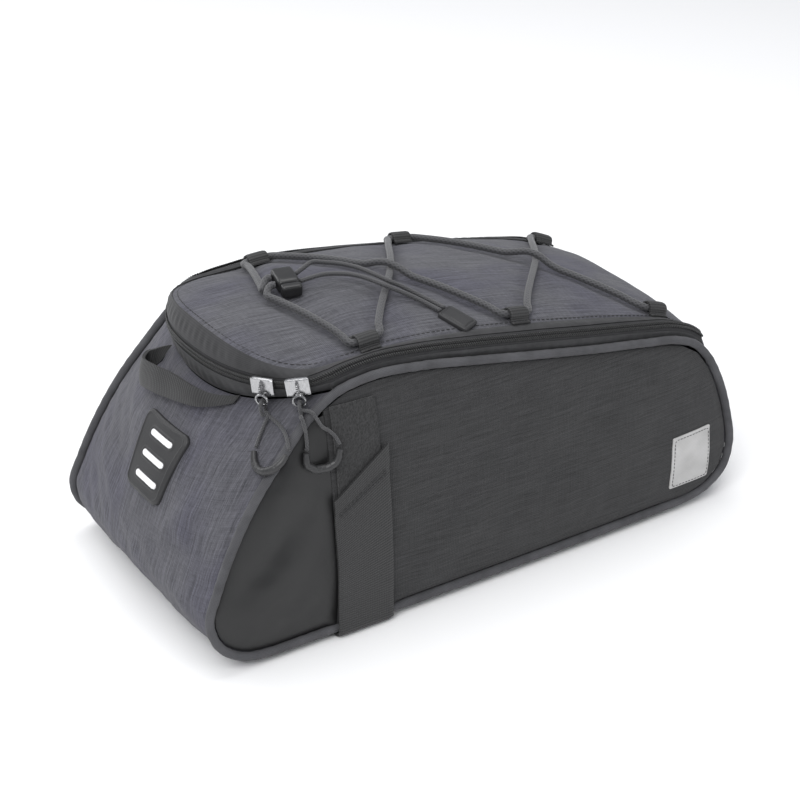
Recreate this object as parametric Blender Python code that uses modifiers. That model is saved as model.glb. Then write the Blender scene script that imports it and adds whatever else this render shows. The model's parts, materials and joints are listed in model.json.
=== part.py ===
"""A padded bag for the top of a bicycle rack: a wedge of heather cloth with piped side panels,
a domed lid in a zipped band, elastic lacing over the lid, webbing straps and a rubber light patch.
Metres, +Z up, +X towards the saddle, +Y the bicycle's left. It stands on its flat base at Z = 0."""

import math

import bmesh
import bpy
import numpy as np

# Overall sizes
LENGTH = 0.3515  # side panels, rear piping to front piping
WIDTH = 0.176  # across the side panels at the base
SIDE_HEIGHT = 0.139  # side panels, lower piping to upper piping
BASE_DROP = 0.005  # how far the padded base stands below the lower piping
REAR_BULGE = 0.021  # the rear panel's swell at the lid, along the bag
FRONT_BULGE = 0.009
SIDE_BULGE = 0.0045
CENTRE_SHIFT = -0.0026  # brings the bag's box to the middle of X
LEAN = 0.08  # side panels lean in by this much of their height
NOSE = 0.003  # side panels draw in by this much at the front

# Cloth and padding
WALL = 0.003
BASE_WALL = 0.0045
BAND_WALL = 0.002
GAP = 0.0003
PIPING_RADIUS = 0.0025
PIPING_SINK = 0.0006  # how deep the piping's centre lies inside the corner

# Lid and zipper
LID_RISE = 0.0142  # the lid's seam over the side panels
CROWN = 0.0098
BAND_INSET = 0.0085
BAND_BULGE = 0.0046
LID_REAR_INSET = 0.001
LID_CORNER_POWER = 2.3
ZIP_WIDTH = 0.0066
SLIDER_LENGTH = 0.0125
SLIDER_WIDTH = 0.0095
SLIDER_HEIGHT = 0.0050
EYE_RADIUS = 0.0031  # of the ring under each slider that its pull cord goes through
EYE_WIRE = 0.0007

# Webbing
STRAP_WIDTH = 0.034
STRAP_THICKNESS = 0.002
STRAP_UNDER = 0.042  # how far each strap runs in under the base
LOOP_STRIP_WIDTH = 0.026
LOOP_STRIP_THICKNESS = 0.0012
HANDLE_WIDTH = 0.015
HANDLE_THICKNESS = 0.0018
HANDLE_SPAN = 0.075
HANDLE_BOW = 0.0150
ANCHOR_WIDTH = 0.014
ANCHOR_THICKNESS = 0.0012
LACING_TURN = 0.011  # the cord turns over this length beside a tab
CROSS_BOW = 0.0045  # how far a strand that goes to the left side bows forward

# Rear patch and side label
PATCH_TOP = 0.043
PATCH_BOTTOM = 0.036
PATCH_HEIGHT = 0.046
PATCH_THICKNESS = 0.002
PATCH_CORNER = 0.005
BAR_LENGTH = 0.0215
BAR_WIDTH = 0.0036
BAR_THICKNESS = 0.0006
BAR_PITCH = 0.0128
LABEL_WIDTH = 0.030
LABEL_HEIGHT = 0.034
LABEL_THICKNESS = 0.0008

# Cords
BUNGEE = 0.004
TAIL = 0.0026
PULL_CORD = 0.0019
GRIP = 0.0046

# Cord lock and cord end
LOCK_LENGTH = 0.0165  # the body, across the bag
LOCK_WIDTH = 0.0125
LOCK_HEIGHT = 0.0085
PLUNGER_LENGTH = 0.0055
LOCK_OFF = 0.0064  # the lock's middle over the lid
HOLE_PITCH = 0.0078
CORD_END_WIDTH = 0.0125
CORD_END_LENGTH = 0.018
CORD_END_THICKNESS = 0.0022
CORD_END_RUN = (0.423, -0.906)  # the way it points, along the bag and to the left

SEAM_INSET = PIPING_SINK + PIPING_RADIUS + GAP
REAR_X = -LENGTH / 2 + CENTRE_SHIFT

# The side panel's outline, from the top of the rear round by the base to the front and back.
# x is a share of LENGTH from the rear, z one of SIDE_HEIGHT over the lower piping, and back, fore
# and down are the shares of the three swells that the panels between the side panels have there.
OUTLINE = (
    # name, x, z, back, fore, down
    ("apex", 0.288, 1.000, 1.00, 0.0, 0.0),
    ("shoulder", 0.234, 0.976, 1.00, 0.0, 0.0),
    ("rear_top", 0.188, 0.908, 1.00, 0.0, 0.0),
    ("rear_high", 0.140, 0.788, 0.92, 0.0, 0.0),
    ("rear_middle", 0.092, 0.651, 0.75, 0.0, 0.0),
    ("rear_low", 0.052, 0.500, 0.55, 0.0, 0.0),
    ("rear_swell", 0.018, 0.330, 0.38, 0.0, 0.0),
    ("rearmost", 0.000, 0.205, 0.22, 0.0, 0.0),
    ("rear_heel", 0.013, 0.095, 0.12, 0.0, 0.0),
    ("rear_tuck", 0.047, 0.024, 0.04, 0.0, 0.20),
    ("rear_foot", 0.100, 0.000, 0.00, 0.0, 0.80),
    ("base_rear", 0.170, 0.000, 0.00, 0.0, 1.00),
    ("base_middle", 0.500, 0.000, 0.00, 0.0, 1.00),
    ("base_front", 0.810, 0.000, 0.00, 0.0, 1.00),
    ("front_foot", 0.880, 0.000, 0.00, 0.0, 0.80),
    ("front_tuck", 0.945, 0.024, 0.00, 0.2, 0.20),
    ("front_heel", 0.986, 0.094, 0.00, 0.6, 0.0),
    ("foremost", 1.000, 0.200, 0.00, 1.0, 0.0),
    ("front_low", 0.992, 0.349, 0.00, 1.0, 0.0),
    ("front_middle", 0.969, 0.529, 0.00, 0.9, 0.0),
    ("front_high", 0.943, 0.645, 0.00, 0.6, 0.0),
    ("front_brow", 0.916, 0.714, 0.00, 0.3, 0.0),
    ("front_top", 0.877, 0.757, 0.00, 0.0, 0.0),
    ("top_front", 0.809, 0.790, 0.00, 0.0, 0.0),
    ("top_middle", 0.706, 0.833, 0.00, 0.0, 0.0),
    ("top_strap", 0.609, 0.878, 0.00, 0.0, 0.0),
    ("top_rise", 0.478, 0.940, 0.00, 0.0, 0.0),
    ("top_rear", 0.385, 0.982, 0.00, 0.0, 0.0),
)

# How the lid's seam stands over the side panels: x a share of LENGTH, rise one of LID_RISE and
# crown one of CROWN
LID = (
    # x, rise, crown
    (0.10, 0.49, 1.0),
    (0.29, 0.50, 1.0),
    (0.41, 0.72, 1.0),
    (0.49, 0.90, 1.0),
    (0.61, 1.00, 1.0),
    (0.73, 0.96, 0.9),
    (0.81, 0.82, 0.8),
    (0.87, 0.64, 0.75),
    (0.917, 0.52, 0.7),
    (0.94, 0.68, 0.6),
)
LID_FRONT = 0.938  # the lid's front edge, a share of LENGTH
BAND_DIP = 0.888  # the band's lower edge at the middle of the rear, a share of SIDE_HEIGHT
BAND_DIP_POWER = 2.6
BASE_ROUND = 0.14  # over this share of half the width the base rises to the piping

# Where the webbing, the label and the patch sit, as shares of LENGTH and SIDE_HEIGHT
STRAP_X = 0.256
STRAP_CUT_HIGH = 0.745
STRAP_CUT_LOW = 0.575
STRIP_TOP = 0.930
LABEL_X = 0.900
LABEL_Z = 0.215
PATCH_Y = -0.020  # share of WIDTH
BAR_Y = -0.0020  # from the patch's middle
PATCH_Z = 0.600
HANDLE_Z = 0.855
ANCHORS = (
    # name, the right tab's x, the left tab's x
    ("rear", 0.314, 0.318),
    ("middle", 0.582, 0.590),
    ("front", 0.860, 0.885),
)
ANCHOR_INSET = 0.0054  # from the lid's seam to the cord's middle
LOCK_X = 0.284
LOCK_Y = 0.028  # share of WIDTH
SLIDER_REAR = 0.632  # shares of half the WIDTH, to the right
SLIDER_SIDE = 0.773

# The grab handle's run from its right end to its left one
HANDLE = (
    # across (share of HANDLE_SPAN), out (of HANDLE_BOW), up and wide (of HANDLE_WIDTH)
    (-0.50, 0.00, 0.10, 0.34),
    (-0.40, 0.16, 0.12, 0.44),
    (-0.22, 0.44, 0.12, 0.72),
    (0.00, 0.60, 0.06, 0.94),
    (0.22, 0.86, -0.04, 1.00),
    (0.40, 1.00, -0.18, 1.00),
    (0.49, 0.80, -0.22, 1.00),
    (0.50, 0.42, -0.15, 0.90),
    (0.46, 0.05, 0.00, 0.70),
)

# The loops that hang from the two sliders. A rear row lies on the rear panel: across as a share of
# half the WIDTH to the right, high as a share of SIDE_HEIGHT. A side row lies on the side panel:
# across as a share of LENGTH from the rear. Lift is how high the middle of the cord or grip
# stands over the cloth, in metres.
PULL_REAR = (
    # across, high, lift: from under the eye down to the grip's inner end
    (0.676, 0.884, 0.0042),
    (0.684, 0.862, 0.0024),
    (0.690, 0.838, 0.0014),
    (0.708, 0.804, 0.0014),
    (0.728, 0.783, 0.0022),
)
PULL_REAR_BACK = (
    (0.668, 0.880, 0.0032),
    (0.735, 0.868, 0.0022),
    (0.800, 0.853, 0.0022),
    (0.868, 0.829, 0.0042),
    (0.922, 0.800, 0.0050),
)
GRIP_REAR = (
    (0.735, 0.772, 0.0028),
    (0.779, 0.743, 0.0028),
    (0.836, 0.727, 0.0038),
    (0.892, 0.727, 0.0058),
    (0.930, 0.742, 0.0068),
    (0.940, 0.765, 0.0068),
    (0.932, 0.785, 0.0062),
)
PULL_OVER = (
    # as a rear row, down to the piping
    (0.858, 0.893, 0.0054),
    (0.905, 0.876, 0.0058),
)
PULL_OVER_BACK = (
    (0.826, 0.908, 0.0050),
    (0.862, 0.910, 0.0050),
    (0.905, 0.906, 0.0060),
)
PULL_SIDE = (
    # as a side row, down to the grip's rear end
    (0.1770, 0.836, 0.0020),
    (0.1740, 0.803, 0.0026),
)
PULL_SIDE_BACK = (
    (0.2010, 0.874, 0.0036),
    (0.2120, 0.850, 0.0026),
    (0.2195, 0.822, 0.0042),
    (0.2225, 0.800, 0.0046),
)
GRIP_SIDE = (
    (0.1725, 0.790, 0.0028),
    (0.1715, 0.757, 0.0028),
    (0.1780, 0.730, 0.0028),
    (0.1930, 0.717, 0.0028),
    (0.2070, 0.725, 0.0040),
    (0.2170, 0.751, 0.0050),
    (0.2215, 0.786, 0.0050),
)

# The middle of the cord end's near edge: a share of LENGTH from the rear, one of WIDTH to the left
CORD_END_X = 0.4700
CORD_END_Y = -0.2740

# The two drawcord tails over the lid, from the lock to the cord end. Along is a share of LENGTH
# from the rear, across one of WIDTH to the left, and lift is in metres.
TAIL_A = (
    (0.326, 0.052, 0.0088),
    (0.365, 0.044, 0.0080),
    (0.390, 0.000, 0.0075),
    (0.404, -0.072, 0.0078),
    (0.414, -0.126, 0.0076),
    (0.434, -0.156, 0.0052),
    (0.455, -0.200, 0.0026),
)
TAIL_B = (
    (0.322, -0.016, 0.0072),
    (0.348, -0.022, 0.0070),
    (0.374, -0.052, 0.0072),
    (0.391, -0.110, 0.0078),
    (0.405, -0.160, 0.0074),
    (0.424, -0.184, 0.0052),
    (0.447, -0.222, 0.0026),
)


def smooth_curve(knots, closed=False, per_span=20):
    """Points on a smooth curve through the knots, whose columns may be any."""
    p = np.asarray(knots, float)
    step = np.linalg.norm(np.diff(p[:, :2], axis=0), axis=1)
    if closed:
        step = np.append(step, np.linalg.norm(p[0, :2] - p[-1, :2]))
        before, after = np.roll(p, 1, 0), np.roll(p, -1, 0)
        h0, h1 = np.roll(step, 1)[:, None], step[:, None]
        slope = ((after - p) / h1 * h0 + (p - before) / h0 * h1) / (h0 + h1)
        ends = [(i, (i + 1) % len(p)) for i in range(len(p))]
    else:
        h = step[:, None]
        slope = np.empty_like(p)
        slope[1:-1] = (np.diff(p, axis=0)[1:] / h[1:] * h[:-1] + np.diff(p, axis=0)[:-1] / h[:-1] * h[1:])
        slope[1:-1] /= h[1:] + h[:-1]
        slope[0] = (p[1] - p[0]) / h[0]
        slope[-1] = (p[-1] - p[-2]) / h[-1]
        ends = [(i, i + 1) for i in range(len(p) - 1)]
    s = np.linspace(0, 1, per_span, endpoint=False)[:, None]
    out = []
    for i, j in ends:
        out.append(
            (2 * s**3 - 3 * s**2 + 1) * p[i]
            + (s**3 - 2 * s**2 + s) * step[i] * slope[i]
            + (3 * s**2 - 2 * s**3) * p[j]
            + (s**3 - s**2) * step[i] * slope[j]
        )
    if not closed:
        out.append(p[-1:])
    return np.concatenate(out)


def along(points, closed=False):
    """Each point's distance along the line of points, from 0."""
    p = np.vstack([points, points[:1]]) if closed else points
    return np.concatenate([[0.0], np.cumsum(np.linalg.norm(np.diff(p, axis=0), axis=1))])


def evenly(points, count, closed=False):
    """count points at even distances along a line of points."""
    s = along(points, closed)
    p = np.vstack([points, points[:1]]) if closed else points
    at = np.linspace(0, s[-1], count, endpoint=not closed)
    return np.stack([np.interp(at, s, p[:, k]) for k in range(p.shape[1])], 1)


# The outline's own smooth curve, in metres, and the place of each of its named points on it
PER_SPAN = 20
KNOTS = [(REAR_X + x * LENGTH, BASE_DROP + z * SIDE_HEIGHT, *swells) for _, x, z, *swells in OUTLINE]
CURVE = smooth_curve(KNOTS, closed=True, per_span=PER_SPAN)
CURVE[:, 1] = np.maximum(CURVE[:, 1], BASE_DROP)
CURVE_S = along(CURVE[:, :2], closed=True)
PERIMETER = CURVE_S[-1]
PLACE = {row[0]: CURVE_S[i * PER_SPAN] for i, row in enumerate(OUTLINE)}
KNOT = {row[0]: KNOTS[i] for i, row in enumerate(OUTLINE)}


def outline_at(s):
    """x, z and the three swells of the outline at distance s along it."""
    ring = np.vstack([CURVE, CURVE[:1]])
    s = np.mod(s, PERIMETER)
    return [np.interp(s, CURVE_S, ring[:, k]) for k in range(5)]


def rear_place(z):
    """The distance along the outline at which its rear, below the lid, is at height z."""
    last = OUTLINE.index(next(row for row in OUTLINE if row[0] == "rear_heel")) * PER_SPAN
    return np.interp(-np.asarray(z), -CURVE[:last, 1], CURVE_S[:last])


def top_z(x):
    """The height of the outline's top at x."""
    first = OUTLINE.index(next(row for row in OUTLINE if row[0] == "front_high")) * PER_SPAN
    top = np.vstack([CURVE[first:], CURVE[: PER_SPAN + 1]])
    return np.interp(-np.asarray(x), -top[:, 0], top[:, 1])


def side_half(x, z):
    """Half the bag's width at a place on a side panel's edge."""
    share = np.clip((np.asarray(x) - REAR_X) / LENGTH, 0, 1)
    return WIDTH / 2 - LEAN * np.asarray(z) - NOSE * np.clip((share - 0.45) / 0.55, 0, 1) ** 2


def girth(s, f):
    """A point of the cloth between the side panels: s along the outline, f from -1 to 1 across."""
    x, z, back, fore, down = outline_at(s)
    f = np.asarray(f, float)
    swell = 1 - f**2
    flat = np.clip((1 - np.abs(f)) / BASE_ROUND, 0, 1)
    flat = flat * flat * (3 - 2 * flat)
    return np.stack(
        [
            x - back * REAR_BULGE * swell + fore * FRONT_BULGE * swell,
            f * (side_half(x, z) - SEAM_INSET),
            z - down * BASE_DROP * flat,
        ],
        -1,
    )


def inset_outline(amount, count):
    """The side outline drawn in by an amount, as even points in x and z."""
    ring = evenly(CURVE[:, :2], 400, closed=True)
    forward = np.roll(ring, -1, 0) - np.roll(ring, 1, 0)
    forward /= np.linalg.norm(forward, axis=1)[:, None]
    inward = np.stack([-forward[:, 1], forward[:, 0]], 1)
    return evenly(ring + amount * inward, count, closed=True)


RIM = inset_outline(SEAM_INSET, 160)


def side_y(x, z):
    """Half width to the outer face of a side panel, which swells away from its edge."""
    x, z = np.broadcast_arrays(np.asarray(x, float), np.asarray(z, float))
    flat = np.stack([x.ravel(), z.ravel()], 1)
    a, b = RIM, np.roll(RIM, -1, 0)
    ab = b - a
    t = np.einsum("nij,ij->ni", flat[:, None] - a, ab) / np.einsum("ij,ij->i", ab, ab)
    near = a + np.clip(t, 0, 1)[..., None] * ab
    depth = np.linalg.norm(flat[:, None] - near, axis=2).min(axis=1).reshape(x.shape)
    rise = np.clip(depth / (0.3 * SIDE_HEIGHT), 0, 1)
    return side_half(x, z) + SIDE_BULGE * (1 - (1 - rise) ** 2)


def lid_half(x):
    """Half the width of the lid's top panel, along its straight sides."""
    return side_half(x, top_z(x)) - SEAM_INSET - BAND_INSET


def lid_z(x, y):
    """The height of the lid's crowned top."""
    rows = np.array(LID)
    share = (np.asarray(x) - REAR_X) / LENGTH
    base = top_z(np.maximum(x, KNOT["apex"][0])) + LID_RISE * np.interp(share, rows[:, 0], rows[:, 1])
    crown = CROWN * np.interp(share, rows[:, 0], rows[:, 2])
    return base + crown * (1 - (np.asarray(y) / lid_half(np.maximum(x, KNOT["apex"][0]))) ** 2)


def band_rails(x_front, per_side, per_rear):
    """The zipped band's lower edge, middle and upper edge: down the right side of the bag,
    round its rear and up its left side. Each is an array of points."""
    shoulder = KNOT["shoulder"][0]
    run = np.linspace(x_front, shoulder, per_side, endpoint=False)
    half = side_half(run, top_z(run)) - SEAM_INSET
    low_side = np.stack([run, -half, top_z(run)], 1)
    high_side = np.stack([run, -lid_half(run), lid_z(run, lid_half(run))], 1)
    turn = np.linspace(-math.pi / 2, math.pi / 2, per_rear)
    f = np.sign(turn) * np.abs(np.sin(turn)) ** (2 / LID_CORNER_POWER)
    dip, brim = BASE_DROP + BAND_DIP * SIDE_HEIGHT, KNOT["shoulder"][1]
    low_rear = girth(rear_place(dip + (brim - dip) * np.abs(f) ** BAND_DIP_POWER), f)
    reach = shoulder - low_rear[:, 0].min() - LID_REAR_INSET
    x = shoulder - reach * np.abs(np.cos(turn)) ** (2 / LID_CORNER_POWER)
    y = f * lid_half(shoulder)
    high_rear = np.stack([x, y, lid_z(x, y)], 1)
    mirror = np.array([1, -1, 1])
    low = np.vstack([low_side, low_rear, (low_side * mirror)[::-1]])
    high = np.vstack([high_side, high_rear, (high_side * mirror)[::-1]])
    across = high - low
    forward = np.gradient((low + high) / 2, axis=0)
    outward = np.cross(across, forward)
    outward /= np.linalg.norm(outward, axis=1)[:, None]
    middle = (low + high) / 2 + BAND_BULGE * outward
    return low, middle, high


def bowed(low, middle, high, w):
    """The point at share w of the way over a bowed line from low by middle to high."""
    return low * 2 * (w - 0.5) * (w - 1) + middle * 4 * w * (1 - w) + high * 2 * w * (w - 0.5)


def on_band(rails, w):
    """Points at share w of the way up the band, w being one number or one for each station."""
    w = np.broadcast_to(np.asarray(w, float), (len(rails[0]),))[:, None]
    return bowed(*rails, w)


def clear_scene():
    for item in list(bpy.data.objects):
        bpy.data.objects.remove(item, do_unlink=True)


def new_collection(name):
    collection = bpy.data.collections.new(name)
    bpy.context.scene.collection.children.link(collection)
    return collection


clear_scene()
PARTS = new_collection("rack_bag")
CUTTERS = new_collection("cutters")
CUTTERS.hide_render = True


def material(name, colour, roughness, metallic=0.0):
    made = bpy.data.materials.new(name)
    made.use_nodes = True
    shader = made.node_tree.nodes["Principled BSDF"]
    shader.inputs["Base Color"].default_value = (*colour, 1)
    shader.inputs["Roughness"].default_value = roughness
    shader.inputs["Metallic"].default_value = metallic
    made.diffuse_color = (*colour, 1)
    return made


HEATHER = material("heather_cloth", (0.085, 0.085, 0.095), 0.85)
SIDE_CLOTH = material("dark_heather_cloth", (0.05, 0.05, 0.055), 0.85)
BLACK_CLOTH = material("black_cloth", (0.02, 0.02, 0.021), 0.8)
COATED = material("coated_cloth", (0.012, 0.012, 0.013), 0.4)
WEBBING = material("webbing", (0.018, 0.018, 0.019), 0.7)
RUBBER = material("rubber", (0.02, 0.02, 0.022), 0.6)
REFLECTOR = material("reflector", (0.75, 0.75, 0.76), 0.3)
LABEL = material("label", (0.45, 0.44, 0.43), 0.5)
METAL = material("zip_metal", (0.7, 0.7, 0.7), 0.25, 1.0)
NYLON = material("nylon", (0.02, 0.02, 0.02), 0.5)
CORD = material("cord", (0.02, 0.02, 0.022), 0.7)


def add_mesh(name, points, faces, finish, collection=PARTS):
    mesh = bpy.data.meshes.new(name)
    mesh.from_pydata([tuple(p) for p in points], [], [tuple(f) for f in faces])
    mesh.materials.append(finish)
    mesh.shade_smooth()
    mesh.set_sharp_from_angle(angle=math.radians(40))
    made = bpy.data.objects.new(name, mesh)
    collection.objects.link(made)
    return made


def thicken(made, thickness, offset):
    """Turns an open surface into a wall: offset -1 puts it inside the surface, 1 outside."""
    wall = made.modifiers.new("wall", "SOLIDIFY")
    wall.thickness = thickness
    wall.offset = offset
    wall.use_rim = True
    return made


def sheet(name, grid, thickness, finish, offset=-1.0, flip=False):
    """A wall over a grid of points of its outer face."""
    rows, columns = grid.shape[:2]
    faces = []
    for i in range(rows - 1):
        for j in range(columns - 1):
            a = i * columns + j
            face = (a, a + 1, a + columns + 1, a + columns)
            faces.append(face[::-1] if flip else face)
    return thicken(add_mesh(name, grid.reshape(-1, 3), faces, finish), thickness, offset)


def shell(name, outer, inner, finish):
    """A closed solid between two grids of points of the same shape."""
    rows, columns = outer.shape[:2]
    points = np.vstack([outer.reshape(-1, 3), inner.reshape(-1, 3)])
    faces = []
    for i in range(rows - 1):
        for j in range(columns - 1):
            a = i * columns + j
            face = (a, a + 1, a + columns + 1, a + columns)
            faces.append(face)
            faces.append(tuple(k + rows * columns for k in face[::-1]))
    around = list(range(columns))
    around += [i * columns + columns - 1 for i in range(1, rows)]
    around += [(rows - 1) * columns + j for j in range(columns - 2, -1, -1)]
    around += [i * columns for i in range(rows - 2, 0, -1)]
    for a, b in zip(around, around[1:] + around[:1]):
        faces.append((b, a, a + rows * columns, b + rows * columns))
    return add_mesh(name, points, faces, finish)


RINGS = (1.0, 0.93, 0.82, 0.60, 0.30)


def patch(name, border, place, thickness, finish, offset=-1.0, flip=False, rings=RINGS):
    """A wall over a closed flat border, whose points place() sets on the bag's surface."""
    border = np.asarray(border, float)
    centre = border.mean(axis=0)
    count = len(border)
    flat = np.vstack([centre + share * (border - centre) for share in rings] + [centre[None]])
    faces = []
    for ring in range(len(rings) - 1):
        for i in range(count):
            j = (i + 1) % count
            a, b = ring * count + i, ring * count + j
            faces.append((a, b, b + count, a + count))
    last = (len(rings) - 1) * count
    faces += [(last + i, last + (i + 1) % count, last + count) for i in range(count)]
    if flip:
        faces = [face[::-1] for face in faces]
    return thicken(add_mesh(name, place(flat), faces, finish), thickness, offset)


def tube(name, points, radius, finish, cyclic=False, taper=None):
    """A round cord, piping or wire along points, each at its share of the radius in taper."""
    curve = bpy.data.curves.new(name, "CURVE")
    curve.dimensions = "3D"
    curve.bevel_depth = radius
    curve.bevel_resolution = 2
    curve.use_fill_caps = not cyclic
    line = curve.splines.new("POLY")
    line.points.add(len(points) - 1)
    for point, place in zip(line.points, points):
        point.co = (*place, 1)
    if taper is not None:
        line.points.foreach_set("radius", taper)
    line.use_cyclic_u = cyclic
    curve.materials.append(finish)
    made = bpy.data.objects.new(name, curve)
    PARTS.objects.link(made)
    return made


def block(name, size, place, axes, finish, bevel=0.0, collection=PARTS):
    """A box with rounded edges, its own x, y and z along the three axes given."""
    shape = bmesh.new()
    bmesh.ops.create_cube(shape, size=1.0)
    mesh = bpy.data.meshes.new(name)
    frame = np.array(axes, float).T
    for vert in shape.verts:
        vert.co = place + frame @ (np.array(vert.co) * size)
    if np.linalg.det(frame) < 0:
        bmesh.ops.reverse_faces(shape, faces=shape.faces)
    shape.to_mesh(mesh)
    shape.free()
    mesh.materials.append(finish)
    made = bpy.data.objects.new(name, mesh)
    collection.objects.link(made)
    if bevel:
        edge = made.modifiers.new("rounded", "BEVEL")
        edge.width = bevel
        edge.segments = 2
    return made


def cut_from(made, cutter):
    cutter.hide_render = True
    cutter.display_type = "WIRE"
    cut = made.modifiers.new("cut", "BOOLEAN")
    cut.object = cutter
    cut.operation = "DIFFERENCE"


def join_to(made, extra):
    extra.hide_render = True
    extra.display_type = "WIRE"
    union = made.modifiers.new("join", "BOOLEAN")
    union.object = extra
    union.operation = "UNION"


def ring(name, centre, axes, radius, wire):
    """A closed wire ring in the plane of the first two axes, as a helper shape."""
    around, section = 16, 6
    a = np.linspace(0, 2 * math.pi, around, endpoint=False)[:, None]
    b = np.linspace(0, 2 * math.pi, section, endpoint=False)
    out = (radius + wire * np.cos(b))[..., None]
    axes = np.array(axes, float)
    flat = np.cos(a)[..., None] * axes[0] + np.sin(a)[..., None] * axes[1]
    points = centre + out * flat + (wire * np.sin(b))[:, None] * axes[2]
    faces = []
    for i in range(around):
        for j in range(section):
            k, m = (i + 1) % around, (j + 1) % section
            faces.append((i * section + j, k * section + j, k * section + m, i * section + m))
    return add_mesh(name, points.reshape(-1, 3), faces, METAL, CUTTERS)


def rounded_rectangle(width, height, corner, top_width=None, per_corner=4, per_side=5):
    """A closed border with round corners, wider at the top if top_width says so."""
    top_width = width if top_width is None else top_width
    points = []
    for sx, sy in ((1, 1), (-1, 1), (-1, -1), (1, -1)):
        reach = (top_width if sy > 0 else width) / 2
        centre = np.array([sx * (reach - corner), sy * (height / 2 - corner)])
        start = {(1, 1): 0, (-1, 1): 90, (-1, -1): 180, (1, -1): 270}[(sx, sy)]
        turn = np.radians(np.linspace(start, start + 90, per_corner))
        points.append(centre + corner * np.stack([np.cos(turn), np.sin(turn)], 1))
    border = []
    for i, corner_points in enumerate(points):
        border.append(corner_points)
        after = points[(i + 1) % 4][0]
        share = np.linspace(0, 1, per_side + 1)[1:-1, None]
        border.append(corner_points[-1] * (1 - share) + after * share)
    return np.vstack(border)


def band_dip_place(f):
    """Where the rear panel's top edge meets the band, which dips at the middle of the rear."""
    dip, brim = BASE_DROP + BAND_DIP * SIDE_HEIGHT, KNOT["shoulder"][1]
    return rear_place(dip + (brim - dip) * np.abs(f) ** BAND_DIP_POWER) + GAP


def build_rear():
    """The rear panel, from the zipped band down and round under to the base."""
    f = np.linspace(-1, 1, 15)
    share = np.linspace(0, 1, 18)[:, None]
    places = band_dip_place(f) * (1 - share) + PLACE["rear_foot"] * share
    sheet("rear_panel", girth(places, f + 0 * places), WALL, HEATHER)


def build_base():
    """The padded base, with a channel under each side for the webbing strap."""
    edge = 1 - BASE_ROUND * np.array([1, 0.8, 0.5, 0.3, 0])
    f = np.hstack([-edge[::-1], -0.5, 0, 0.5, edge])
    rear = np.linspace(PLACE["rear_foot"] + 3 * GAP, PLACE["base_rear"], 4)
    front = np.linspace(PLACE["base_front"], PLACE["front_foot"] - 3 * GAP, 4)
    places = np.hstack([rear, PLACE["base_middle"], front])[:, None]
    base = sheet("base_panel", girth(places + 0 * f, f + 0 * places), BASE_WALL, BLACK_CLOTH)
    reach = STRAP_UNDER + GAP
    size = (STRAP_WIDTH + 2 * GAP, reach, 2 * (STRAP_THICKNESS + GAP))
    for side, word in ((-1, "right"), (1, "left")):
        middle = np.array([REAR_X + STRAP_X * LENGTH, side * (WIDTH / 2 - reach / 2), 0.0])
        name = f"strap_channel_{word}"
        cut_from(base, block(name, size, middle, np.eye(3), BLACK_CLOTH, collection=CUTTERS))


def front_edge(f):
    """The front panel's top edge, which meets the band's ends and the lid's front."""
    x = REAR_X + LID_FRONT * LENGTH
    low, middle, high = (rail[0] for rail in band_rails(x, 10, 9))
    side = bowed(low, middle, high, np.linspace(0, 1, 6)[:, None])
    y = np.linspace(-lid_half(x), lid_half(x), 13)[1:-1]
    top = np.stack([0 * y + x, y, lid_z(x, y)], 1)
    line = np.vstack([side, top, (side * [1, -1, 1])[::-1]])
    at = f * -low[1]
    return np.stack([0 * f + x + 2 * GAP, at, np.interp(at, line[:, 1], line[:, 2])], 1)


def build_front():
    """The front panel, whose top edge rises to close the band's ends and the lid's front."""
    f = np.concatenate([np.linspace(-1, -0.86, 5), np.linspace(-0.7, 0.7, 9), np.linspace(0.86, 1, 5)])
    start = PLACE["front_brow"]
    places = np.linspace(start, PLACE["front_foot"], 14)[:, None]
    grid = girth(places + 0 * f, f + 0 * places)
    lift = front_edge(f) - grid[0]
    fade = np.clip(1 - (start - places) / (0.25 * SIDE_HEIGHT), 0, 1)[..., None] ** 2
    outer = grid + fade * lift
    inward = np.cross(np.gradient(outer, axis=0), np.gradient(outer, axis=1))
    inward /= np.linalg.norm(inward, axis=2)[..., None]
    inward *= -np.sign(inward[6, 9, 0])
    inner = outer + WALL * inward
    inner[0] = outer[0] - [0, 0, WALL + 3 * GAP]
    shell("front_panel", outer[:, ::-1], inner[:, ::-1], HEATHER)


def side_border(low_x=None, high_x=None):
    """The side panel's border, cut off at low_x or high_x by an upright edge."""
    ring = inset_outline(SEAM_INSET, 200)
    keep = ring[:, 0] > low_x if low_x is not None else ring[:, 0] < high_x
    start = int(np.argmax(~keep))
    ring = np.roll(ring, -start, 0)
    keep = np.roll(keep, -start)
    arc = ring[keep]
    limit = low_x if low_x is not None else high_x
    first, last = arc[0].copy(), arc[-1].copy()
    first[0] = last[0] = limit
    arc = evenly(np.vstack([first, arc, last]), 44 if low_x is not None else 34)
    upright = np.linspace(arc[-1], arc[0], 12)[1:-1]
    return np.vstack([arc, upright])


def build_sides():
    """On each side a cloth panel, a coated panel behind the strap, and the piping."""
    split = REAR_X + STRAP_X * LENGTH - STRAP_WIDTH / 2 + 3 * GAP
    for side, word in ((-1, "right"), (1, "left")):

        def place(flat, side=side):
            return np.stack([flat[:, 0], side * side_y(flat[:, 0], flat[:, 1]), flat[:, 1]], 1)

        flip = side > 0
        patch(f"side_panel_{word}", side_border(low_x=split + GAP / 2), place, WALL, SIDE_CLOTH, flip=flip)
        patch(f"corner_panel_{word}", side_border(high_x=split - GAP / 2), place, WALL, COATED, flip=flip)
        ring = inset_outline(PIPING_SINK, 76)
        half = side_half(ring[:, 0], ring[:, 1]) - PIPING_SINK
        points = np.stack([ring[:, 0], side * half, ring[:, 1]], 1)
        tube(f"piping_{word}", points, PIPING_RADIUS, HEATHER, cyclic=True)


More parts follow.
